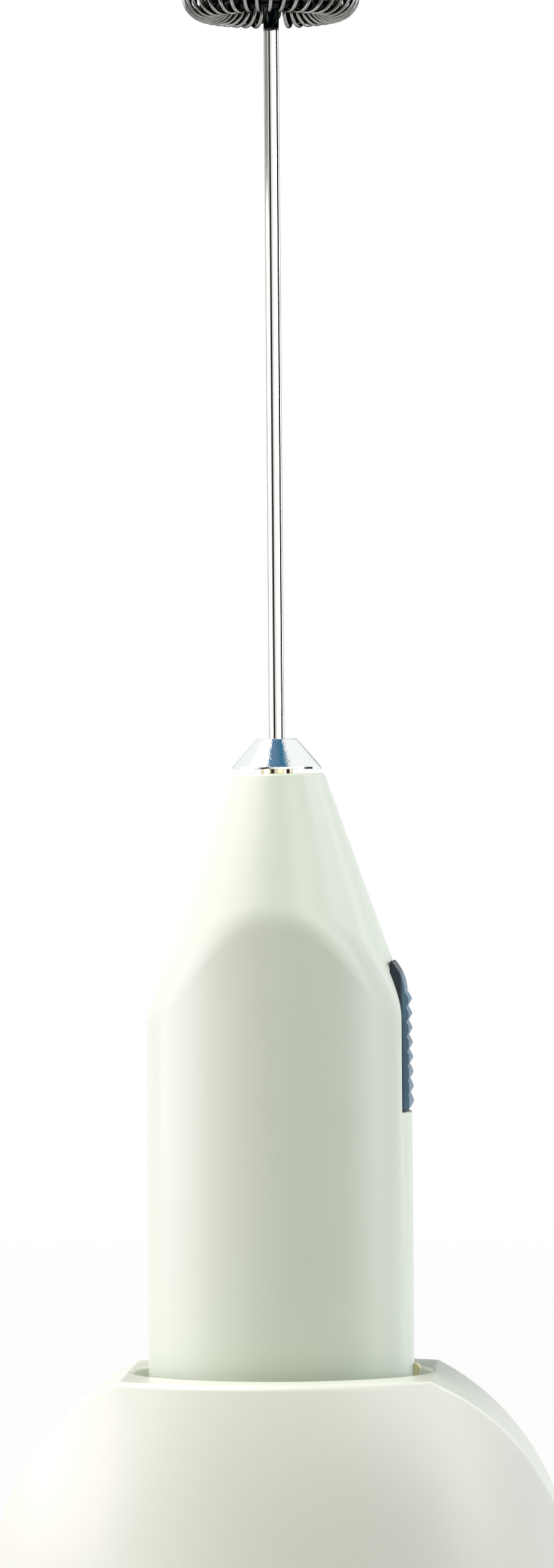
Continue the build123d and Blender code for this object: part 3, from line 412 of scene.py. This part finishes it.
def turned_brass():
    """Free-cutting brass as turned: yellow, with close rings round the axis."""
    return surface(
        "Turned_brass", linear("D2C08C"), linear("EADFBE"), tone=0.8, gloss=(0.1, 0.18),
        gloss_grain=0.4, relief=0.15, depth=0.002, stretch=(8, 8, 1), Metallic=1.0)


def plated_steel():
    """Zinc-plated drawn can: bluish grey, streaked along the draw."""
    return surface(
        "Zinc_plated_steel", linear("8E9498"), linear("B4B9BC"), tone=3, gloss=(0.28, 0.42),
        gloss_grain=1, relief=0.4, depth=0.002, stretch=(1, 1, 6), Metallic=1.0)


def laminated_steel():
    """Stacked electrical sheet: dull grey, with the edges of the sheets as fine level lines."""
    return surface(
        "Laminated_steel", linear("5A5C5F"), linear("85878A"), tone=0.5, gloss=(0.4, 0.55),
        gloss_grain=0.5, relief=0.5, depth=0.03, stretch=(40, 40, 1), Metallic=1.0)


def ferrite():
    """Sintered ferrite: near-black ceramic with a fine, dusty grain."""
    return surface(
        "Sintered_ferrite", linear("26272A"), linear("38393C"), tone=0.8, gloss=(0.6, 0.75),
        gloss_grain=0.6, relief=0.2, depth=0.01)


def sintered_bronze():
    """Oil-soaked sintered bronze: brown, porous and a little wet."""
    return surface(
        "Sintered_bronze", linear("7A5532"), linear("A87B4C"), tone=0.5, gloss=(0.3, 0.5),
        gloss_grain=0.4, relief=0.2, depth=0.01, Metallic=1.0)


def enamelled_copper():
    """Copper under clear enamel: warm red-brown with a lacquer gloss."""
    return surface(
        "Enamelled_copper", linear("8E4520"), linear("C9763F"), tone=0.7, gloss=(0.18, 0.3),
        gloss_grain=0.5, relief=0.3, depth=0.004, Metallic=1.0, Coat_Weight=0.6,
        Coat_Roughness=0.12)


def nickel_strip():
    """Nickel-plated spring strip: warm bright metal with rolling lines."""
    return surface(
        "Nickel_plated_strip", linear("A8A394"), linear("CFCABB"), tone=1.2, gloss=(0.2, 0.32),
        gloss_grain=0.5, relief=0.3, depth=0.002, stretch=(1, 6, 6), Metallic=1.0)


def graphite():
    """Pressed carbon of the brushes: black with a grey metallic rub."""
    return surface(
        "Pressed_graphite", linear("1B1B1C"), linear("3A3A3B"), tone=0.4, gloss=(0.4, 0.6),
        gloss_grain=0.3, relief=0.15, depth=0.008, Metallic=0.4)


def cell_sleeve():
    """Shrink-film sleeve of a plain cell: dark, a little wavy, under a clear gloss."""
    return surface(
        "Sleeve_film", linear("2B3238"), linear("414A52"), tone=9, gloss=(0.25, 0.36),
        gloss_grain=3, relief=1.5, depth=0.004, IOR=1.5, Coat_Weight=0.3, Coat_Roughness=0.1)


def dress(material, *nodes):
    """Gives CAD nodes their finish."""
    for node in nodes:
        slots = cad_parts[node].data.materials
        slots.clear()
        slots.append(material)


def keep(name, mesh, body, slot, *nodes, sharp=SHARP_ANGLE):
    """Makes a finished mesh a piece that rides on a body and stands for CAD nodes."""
    mesh.name = name
    mesh.shade_smooth()
    mesh.set_sharp_from_angle(angle=sharp)
    piece = bpy.data.objects.new(name, mesh)
    bpy.context.scene.collection.objects.link(piece)
    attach(piece, body)
    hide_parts(*nodes)


def node_group(name, sockets):
    """Geometry node tree with named inputs, and the sockets that give their values."""
    tree = bpy.data.node_groups.new(name, "GeometryNodeTree")
    for label, kind in sockets.items():
        tree.interface.new_socket(label, in_out="INPUT", socket_type="NodeSocket" + kind)
    tree.interface.new_socket("Geometry", in_out="OUTPUT", socket_type="NodeSocketGeometry")
    return tree, add(tree, "NodeGroupInput").outputs


def grown_mesh(tree, start, values):
    """Runs a node tree on a start mesh and gives the result as a plain mesh."""
    holder = bpy.data.objects.new(tree.name, start)
    bpy.context.scene.collection.objects.link(holder)
    modifier = holder.modifiers.new(tree.name, "NODES")
    modifier.node_group = tree
    for socket in tree.interface.items_tree:
        if socket.in_out == "INPUT" and socket.name in values:
            modifier[socket.identifier] = values[socket.name]
    graph = bpy.context.evaluated_depsgraph_get()
    mesh = bpy.data.meshes.new_from_object(holder.evaluated_get(graph))
    bpy.data.objects.remove(holder)
    return mesh


def loft(rings, material):
    """Closed mesh over rings of points, capped at both ends."""
    skin = bmesh.new()
    loops = [[skin.verts.new(point) for point in ring] for ring in rings]
    for low, high in zip(loops, loops[1:]):
        for index in range(len(low)):
            after = (index + 1) % len(low)
            skin.faces.new((low[index], low[after], high[after], high[index]))
    skin.faces.new(loops[0])
    skin.faces.new(loops[-1])
    bmesh.ops.recalc_face_normals(skin, faces=skin.faces)
    mesh = bpy.data.meshes.new("skin")
    skin.to_mesh(mesh)
    skin.free()
    mesh.materials.append(material)
    return mesh


def joined(name, meshes):
    """One mesh out of several that share a material."""
    whole = bmesh.new()
    for mesh in meshes:
        whole.from_mesh(mesh)
    result = bpy.data.meshes.new(name)
    whole.to_mesh(result)
    whole.free()
    result.materials.append(meshes[0].materials[0])
    return result


def coil_tree():
    """Spring wound round a ring: a line whose points are sent round the ring and round each loop."""
    tree, given = node_group("Whisk_coil", {
        "Ring Radius": "Float", "Loop Radius": "Float", "Wire Radius": "Float", "Height": "Float",
        "Turns": "Int", "Start": "Float", "Sweep": "Float", "Unevenness": "Float",
        "Points a Loop": "Int", "Sides": "Int", "Material": "Material"})
    count = add(
        tree, "ShaderNodeMath", {0: given["Turns"], 1: given["Points a Loop"]}, operation="MULTIPLY")
    line = add(tree, "GeometryNodeCurvePrimitiveLine")
    path = add(tree, "GeometryNodeResampleCurve", {"Curve": line, "Count": count})
    along = add(tree, "GeometryNodeSplineParameter")
    turn = add(tree, "ShaderNodeMath", {0: along, 1: given["Turns"]}, operation="MULTIPLY")
    round_loop = add(tree, "ShaderNodeMath", {0: turn, 1: 2 * math.pi}, operation="MULTIPLY")
    # Noise keeps near its middle, so a range of two comes to about one unevenness each way
    stray = add(
        tree, "ShaderNodeTexNoise", {"W": turn, "Scale": 0.8, "Detail": 1.0}, noise_dimensions="1D")
    stray = add(tree, "ShaderNodeMapRange", {"Value": stray, "To Min": -2.0, "To Max": 2.0})
    stray = add(tree, "ShaderNodeMath", {0: stray, 1: given["Unevenness"]}, operation="MULTIPLY")
    stray = add(tree, "ShaderNodeMath", {0: stray, 1: given["Ring Radius"]}, operation="DIVIDE")
    begin = add(tree, "ShaderNodeMath", {0: given["Start"], 1: stray}, operation="ADD")
    round_ring = add(
        tree, "ShaderNodeMath", {0: along, 1: given["Sweep"], 2: begin}, operation="MULTIPLY_ADD")
    out = add(tree, "ShaderNodeMath", {0: round_loop}, operation="COSINE")
    radius = add(
        tree, "ShaderNodeMath", {0: out, 1: given["Loop Radius"], 2: given["Ring Radius"]},
        operation="MULTIPLY_ADD")
    up = add(tree, "ShaderNodeMath", {0: round_loop}, operation="SINE")
    level = add(
        tree, "ShaderNodeMath", {0: up, 1: given["Loop Radius"], 2: given["Height"]},
        operation="MULTIPLY_ADD")
    east = add(tree, "ShaderNodeMath", {0: round_ring}, operation="COSINE")
    north = add(tree, "ShaderNodeMath", {0: round_ring}, operation="SINE")
    x = add(tree, "ShaderNodeMath", {0: radius, 1: east}, operation="MULTIPLY")
    y = add(tree, "ShaderNodeMath", {0: radius, 1: north}, operation="MULTIPLY")
    spot = add(tree, "ShaderNodeCombineXYZ", {0: x, 1: y, 2: level})
    wound = add(tree, "GeometryNodeSetPosition", {"Geometry": path, "Position": spot})
    section = add(
        tree, "GeometryNodeCurvePrimitiveCircle",
        {"Resolution": given["Sides"], "Radius": given["Wire Radius"]})
    wire = add(
        tree, "GeometryNodeCurveToMesh",
        {"Curve": wound, "Profile Curve": section, "Fill Caps": True})
    real = add(tree, "GeometryNodeRealizeInstances", {"Geometry": wire})
    dressed = add(tree, "GeometryNodeSetMaterial", {"Geometry": real, "Material": given["Material"]})
    add(tree, "NodeGroupOutput", {"Geometry": dressed})
    return tree


def ribs_tree():
    """One rib repeated up the button, each a little further in, and cut back to the crowned front."""
    tree, given = node_group("Switch_ribs", {
        "Rib": "Geometry", "Teeth": "Int", "Pitch": "Float", "Set Back": "Float",
        "Crown Centre": "Float", "Crown": "Float", "Material": "Material"})
    step = add(tree, "ShaderNodeCombineXYZ", {0: given["Set Back"], 2: given["Pitch"]})
    row = add(tree, "GeometryNodeMeshLine", {"Count": given["Teeth"], "Offset": step})
    ribs = add(tree, "GeometryNodeInstanceOnPoints", {"Points": row, "Instance": given["Rib"]})
    real = add(tree, "GeometryNodeRealizeInstances", {"Geometry": ribs})
    place = add(tree, "GeometryNodeInputPosition")
    parts = add(tree, "ShaderNodeSeparateXYZ", {0: place}).outputs
    square = add(tree, "ShaderNodeMath", {0: given["Crown"], 1: given["Crown"]}, operation="MULTIPLY")
    aside = add(tree, "ShaderNodeMath", {0: parts["Y"], 1: parts["Y"]}, operation="MULTIPLY")
    left = add(tree, "ShaderNodeMath", {0: square, 1: aside}, operation="SUBTRACT")
    reach = add(tree, "ShaderNodeMath", {0: left}, operation="SQRT")
    front = add(tree, "ShaderNodeMath", {0: given["Crown Centre"], 1: reach}, operation="ADD")
    x = add(tree, "ShaderNodeMath", {0: parts["X"], 1: front}, operation="MINIMUM")
    spot = add(tree, "ShaderNodeCombineXYZ", {0: x, 1: parts["Y"], 2: parts["Z"]})
    cut = add(tree, "GeometryNodeSetPosition", {"Geometry": real, "Position": spot})
    dressed = add(tree, "GeometryNodeSetMaterial", {"Geometry": cut, "Material": given["Material"]})
    add(tree, "NodeGroupOutput", {"Geometry": dressed})
    return tree


class FrotherCoilOperator(bpy.types.Operator):
    """Winds the whisk's spring"""
    bl_idname = "frother.coil"
    bl_label = "Whisk coil"

    def execute(self, context):
        sizes = context.scene.frother_whisk
        material = spring_wire(context.scene.frother_colours.steel)
        mesh = grown_mesh(coil_tree(), bpy.data.meshes.new("line"), {
            "Ring Radius": sizes.ring_radius, "Loop Radius": sizes.loop_radius,
            "Wire Radius": sizes.wire_radius, "Height": sizes.height, "Turns": sizes.turns,
            "Start": sizes.start, "Sweep": sizes.sweep, "Unevenness": sizes.unevenness,
            "Points a Loop": POINTS_A_LOOP, "Sides": WIRE_SIDES, "Material": material})
        keep("whisk_spring", mesh, "whisk_drive", "coil_steel", "whisk_coil", sharp=WIRE_SHARP_ANGLE)
        return {"FINISHED"}


class FrotherSwitchOperator(bpy.types.Operator):
    """Makes the slide button with its ribs and thumb ramp"""
    bl_idname = "frother.switch"
    bl_label = "Switch button"

    def execute(self, context):
        sizes = context.scene.frother_switch
        material = slate_abs(context.scene.frother_colours.switch)
        ribs = self.ribs(sizes, material)
        pad = self.pad(sizes, material)
        stem = self.block(
            sizes, material, sizes.stem_half_width, sizes.stem_length, SWITCH_LOW.x, sizes.back)
        foot = self.block(
            sizes, material, sizes.foot_half_width, sizes.foot_length,
            SWITCH_LOW.x, SWITCH_LOW.x + sizes.foot_thickness)
        mesh = joined("slide_button", [pad, ribs, stem, foot])
        keep("slide_button", mesh, "switch", "switch_plastic", "switch_button")
        return {"FINISHED"}

    def ribs(self, sizes, material):
        """Ridge across the button, drawn as rings of points from side to side, then repeated."""
        tip, half, low = SWITCH_HIGH.x, SWITCH_HIGH.y, SWITCH_LOW.z
        inner = tip - sizes.depth - sizes.edge
        flank = [step / FLANK_STEPS - 1 for step in range(2 * FLANK_STEPS + 1)]
        rings = []
        for step in range(-RIB_STEPS, RIB_STEPS + 1):
            side = half * step / RIB_STEPS * RIB_WIDTH
            ring = [
                (tip - sizes.depth * abs(part), side, low + sizes.pitch / 2 * (1 + part))
                for part in flank]
            rings.append(ring + [(inner, side, low + sizes.pitch), (inner, side, low)])
        return grown_mesh(ribs_tree(), loft(rings, material), {
            "Teeth": sizes.teeth, "Pitch": sizes.pitch, "Set Back": -sizes.lean / sizes.teeth,
            "Crown Centre": tip - sizes.crown, "Crown": sizes.crown, "Material": material})

    def pad(self, sizes, material):
        """Pad behind the ribs: rings of points from the bottom of the button to its ramp's tip."""
        tip, half = SWITCH_HIGH.x, SWITCH_HIGH.y
        low, high = SWITCH_LOW.z, SWITCH_HIGH.z
        teeth_top = low + sizes.teeth * sizes.pitch
        ramp_low = teeth_top + sizes.thumb_flat
        levels = [low + (ramp_low - low) * step / PAD_STEPS for step in range(PAD_STEPS + 1)]
        levels += [
            ramp_low + (high - ramp_low) * step / RAMP_STEPS for step in range(1, RAMP_STEPS + 1)]
        rings = []
        for level in levels:
            share = min(1.0, (level - low) / (teeth_top - low))
            face = tip - sizes.depth - sizes.lean * share
            ramp = max(0.0, (level - ramp_low) / (high - ramp_low))
            face -= (face - sizes.back - sizes.thumb_tip) * ramp ** 2
            ring = [(sizes.back, half, level), (sizes.back, -half, level)]
            for step in range(-PAD_STEPS, PAD_STEPS + 1):
                side = half * step / PAD_STEPS
                over = max(0.0, (abs(side) - half + sizes.edge) / sizes.edge)
                crown = tip - sizes.crown + math.sqrt(sizes.crown ** 2 - side ** 2)
                drop = sizes.edge * (1 - math.sqrt(1 - over ** 2)) * EDGE_DROP
                ring.append((max(sizes.back, min(face, crown) - drop), side, level))
            rings.append(ring)
        return loft(rings, material)

    def block(self, sizes, material, half, length, inner, outer):
        """Block on the button's inner side, with its corners cut off."""
        middle = SWITCH_LOW.z + sizes.stem_lift + sizes.stem_length / 2
        cut = half * CORNER_CUT
        spots = [(-half, cut), (-half + cut, 0), (half - cut, 0), (half, cut)]
        outline = [(side, middle - length / 2 + rise) for side, rise in spots]
        outline += [(side, middle + length / 2 - rise) for side, rise in reversed(spots)]
        rings = [[(x, side, level) for side, level in outline] for x in (inner, outer)]
        return loft(rings, material)


class FrotherShellsOperator(bpy.types.Operator):
    """Finishes the mouldings that show"""
    bl_idname = "frother.shells"
    bl_label = "Body and stand"

    def execute(self, context):
        colours = context.scene.frother_colours
        # Painted warm glow: pale yellow on the lug, in place of light bounced from the stand onto it
        lug = (linear("F4E8B4"), lug_glow_share)
        dress(ivory_abs("Ivory_ABS_body", colours.body, lug), "body_shell", "end_cap")
        dress(ivory_abs("Ivory_ABS_stand", colours.stand), "stand_shell")
        dress(matt_abs(), "stand_base_plate")
        dress(rubber(), "stand_feet")
        return {"FINISHED"}


class FrotherMetalsOperator(bpy.types.Operator):
    """Finishes the shaft, the splash cone and the neck"""
    bl_idname = "frother.metals"
    bl_label = "Shaft and collar"

    def execute(self, context):
        colours = context.scene.frother_colours
        # Painted shade and dark reflection: near-black top of the shaft, where it runs into the coil
        scale = (linear("1A1C1C"), coil_reflection_share)
        dress(ground_steel("Ground_stainless_steel", colours.steel, scale), "whisk_shaft")
        dress(ground_steel("Motor_shaft_steel", colours.steel), "rotor_shaft")
        dress(satin_aluminium(colours.collar), "splash_cone")
        dress(turned_brass(), "drive_coupling")
        return {"FINISHED"}


class FrotherWorksOperator(bpy.types.Operator):
    """Finishes the motor, the cells and the contacts inside the body"""
    bl_idname = "frother.works"
    bl_label = "Inner works"

    def execute(self, context):
        dress(black_abs(), "chassis")
        dress(nylon(), "nose_bush", "commutator_sleeve")
        dress(white_acetal(), "motor_end_bell")
        dress(plated_steel(), "motor_can")
        dress(laminated_steel(), "rotor_core")
        dress(ferrite(), "motor_magnets")
        dress(sintered_bronze(), "motor_bearings")
        dress(graphite(), "motor_brushes")
        dress(enamelled_copper(), "rotor_windings", "commutator_segments")
        dress(
            nickel_strip(), "motor_terminals", "switch_terminal", "contact_positive",
            "contact_negative", "switch_contact", "bridge_contact")
        dress(cell_sleeve(), "battery_left", "battery_right")
        return {"FINISHED"}


def polar(turn, rise, distance, target):
    """Point at a direction from the target: turn from the front to the switch side, then rise."""
    flat = math.cos(rise) * distance
    return target + Vector((flat * math.sin(turn), -flat * math.cos(turn), math.sin(rise) * distance))


def face(thing, place, target, roll=0.0):
    """Puts a camera, lamp or card at a place, looking at a target."""
    turn = (place - target).to_track_quat("Z", "Y") @ Quaternion((0, 0, 1), roll)
    thing.matrix_world = Matrix.LocRotScale(place, turn, None)
    bpy.context.scene.collection.objects.link(thing)


def softbox(name, turn, rise, distance, width, height, power, colour, target):
    """Rectangular lamp that faces the target; angles in degrees."""
    lamp = bpy.data.lights.new(name, "AREA")
    lamp.shape = "RECTANGLE"
    lamp.size = width
    lamp.size_y = height
    lamp.energy = power
    lamp.color = colour[:3]
    place = polar(math.radians(turn), math.radians(rise), distance, target)
    face(bpy.data.objects.new(name, lamp), place, target)


def card(name, turn, rise, distance, width, height, target, colour, strength=1.0, roll=0.0):
    """Card that only reflections show, as a photographer sets beside shiny metal; angles in degrees."""
    material = bpy.data.materials.new(name)
    tree = blank(material)
    glow = add(tree, "ShaderNodeEmission", {"Color": colour, "Strength": strength})
    add(tree, "ShaderNodeOutputMaterial", {"Surface": glow})
    mesh = bpy.data.meshes.new(name)
    x = width / 2
    y = height / 2
    mesh.from_pydata([(-x, -y, 0), (x, -y, 0), (x, y, 0), (-x, y, 0)], [], [(0, 1, 2, 3)])
    mesh.materials.append(material)
    board = bpy.data.objects.new(name, mesh)
    place = polar(math.radians(turn), math.radians(rise), distance, target)
    face(board, place, target, math.radians(roll))
    board.visible_camera = False
    board.visible_diffuse = False
    board.visible_transmission = False
    board.visible_shadow = False


def to_the_eye(tree):
    """1 for what is seen straight, in a reflection or through a clear piece; 0 for soft light."""
    ray = add(tree, "ShaderNodeLightPath").outputs
    seen = add(
        tree, "ShaderNodeMath", {0: ray["Is Camera Ray"], 1: ray["Is Glossy Ray"]}, operation="MAXIMUM")
    return add(tree, "ShaderNodeMath", {0: seen, 1: ray["Is Transmission Ray"]}, operation="MAXIMUM")


def white_room(ambient):
    """World that is white to the eye and in reflections, and a softer light on everything else."""
    world = bpy.data.worlds.new("White_room")
    bpy.context.scene.world = world
    tree = blank(world)
    soft = add(tree, "ShaderNodeBackground", {"Color": linear("F6FFF6"), "Strength": ambient})
    white = add(tree, "ShaderNodeBackground", {"Color": linear("FFFFFF"), "Strength": 1.0})
    mixed = add(tree, "ShaderNodeMixShader", {0: to_the_eye(tree), 1: soft, 2: white})
    add(tree, "ShaderNodeOutputWorld", {"Surface": mixed})


def floor():
    """Pale round floor that fades into the white room at its rim and keeps the shadow."""
    material = bpy.data.materials.new("Studio_floor")
    tree = blank(material)
    place = add(tree, "ShaderNodeTexCoord").outputs["Object"]
    away = add(tree, "ShaderNodeVectorMath", {0: place}, operation="LENGTH").outputs["Value"]
    fade = share_between(tree, away, FLOOR_FADE_START, FLOOR_REACH)
    paint = add(tree, "ShaderNodeBsdfDiffuse", {"Color": linear("DADAD8")})
    white = add(tree, "ShaderNodeEmission", {"Color": linear("FFFFFF"), "Strength": 1.0})
    lift = add(tree, "ShaderNodeMath", {0: to_the_eye(tree), 1: FLOOR_LIFT}, operation="MULTIPLY")
    pale = add(tree, "ShaderNodeMixShader", {0: lift, 1: paint, 2: white})
    clear = add(tree, "ShaderNodeBsdfTransparent")
    mixed = add(tree, "ShaderNodeMixShader", {0: fade, 1: pale, 2: clear})
    add(tree, "ShaderNodeOutputMaterial", {"Surface": mixed})
    disc = bmesh.new()
    bmesh.ops.create_circle(disc, cap_ends=True, segments=FLOOR_SIDES, radius=FLOOR_REACH)
    mesh = bpy.data.meshes.new("floor")
    disc.to_mesh(mesh)
    disc.free()
    mesh.materials.append(material)
    ground = bpy.data.objects.new("floor", mesh)
    bpy.context.scene.collection.objects.link(ground)


class FrotherStageOperator(bpy.types.Operator):
    """Sets the floor, the lights and the camera"""
    bl_idname = "frother.stage"
    bl_label = "Studio"

    def execute(self, context):
        studio = context.scene.frother_studio
        context.scene.view_settings.view_transform = "Standard"
        floor()
        white_room(studio.ambient)
        middle = Vector((0, 0, studio.camera_height))
        softbox(
            "key_softbox", turn=-80, rise=10, distance=0.9, width=0.8, height=1.1,
            power=studio.key_power, colour=linear("F6E8FF"), target=middle)
        softbox(
            "rim_softbox", turn=100, rise=8, distance=0.9, width=0.7, height=1.1,
            power=studio.rim_power, colour=linear("F4F4FF"), target=middle)
        softbox(
            "top_softbox", turn=-60, rise=66, distance=0.9, width=0.8, height=0.8,
            power=studio.top_power, colour=linear("FFFAF5"), target=middle)
        card(
            "left_card", turn=-28, rise=0, distance=0.7, width=0.34, height=1.4, target=middle,
            colour=linear("2A2B26"))
        card(
            "front_reflector", turn=29, rise=0, distance=0.75, width=0.5, height=1.4,
            target=middle, colour=linear("FFFFFF"), strength=1.6)
        card(
            "right_card", turn=95, rise=0, distance=0.6, width=0.44, height=0.6, target=middle,
            colour=linear("0A0A08"))
        card(
            "top_card", turn=0, rise=86, distance=0.17, width=0.105, height=0.34, target=middle,
            colour=linear("1A678C"))
        card(
            "upper_left_card", turn=-85, rise=26, distance=0.75, width=0.9, height=0.4,
            target=middle, colour=linear("A6ABA0"), strength=0.8)
        whisk = Vector((0, 0, context.scene.frother_whisk.height))
        card(
            "low_card", turn=0, rise=-45, distance=0.26, width=0.6, height=0.16, target=whisk,
            colour=linear("0A0A08"))
        card(
            "back_card", turn=180, rise=0, distance=0.6, width=0.24, height=1.2, target=middle,
            colour=linear("4E585C"))
        foot = Vector((0, 0, FOOT_LEVEL))
        card(
            "slant_reflector", turn=61, rise=20, distance=0.7, width=0.9, height=0.28, target=foot,
            colour=linear("FFFFFF"), strength=4.0, roll=-40)
        view = bpy.data.cameras.new("camera")
        view.lens = studio.lens
        view.sensor_width = SENSOR_WIDTH
        camera = bpy.data.objects.new("camera", view)
        place = polar(studio.camera_turn, 0, studio.camera_distance, middle)
        face(camera, place, middle, studio.camera_roll)
        context.scene.camera = camera
        return {"FINISHED"}


class FrotherPanel(bpy.types.Panel):
    """Steps that make and light the frother"""
    bl_idname = "FROTHER_PT_steps"
    bl_label = "Milk frother"
    bl_space_type = "VIEW_3D"
    bl_region_type = "UI"
    bl_category = "Frother"

    def draw(self, context):
        for operator in OPERATORS:
            self.layout.operator(operator.bl_idname)


GROUPS = {
    "frother_whisk": FrotherWhisk,
    "frother_switch": FrotherSwitch,
    "frother_colours": FrotherColours,
    "frother_studio": FrotherStudio,
}
OPERATORS = (
    FrotherShellsOperator,
    FrotherMetalsOperator,
    FrotherWorksOperator,
    FrotherCoilOperator,
    FrotherSwitchOperator,
    FrotherStageOperator,
)


def register():
    for name, group in GROUPS.items():
        bpy.utils.register_class(group)
        setattr(bpy.types.Scene, name, PointerProperty(type=group))
    for operator in OPERATORS:
        bpy.utils.register_class(operator)
    bpy.utils.register_class(FrotherPanel)


def unregister():
    bpy.utils.unregister_class(FrotherPanel)
    for operator in reversed(OPERATORS):
        bpy.utils.unregister_class(operator)
    for name, group in reversed(GROUPS.items()):
        delattr(bpy.types.Scene, name)
        bpy.utils.unregister_class(group)


def main():
    """Makes every piece and the stage."""
    register()
    bpy.ops.frother.shells()
    bpy.ops.frother.metals()
    bpy.ops.frother.works()
    bpy.ops.frother.coil()
    bpy.ops.frother.switch()
    bpy.ops.frother.stage()


if __name__ == "__main__":
    main()
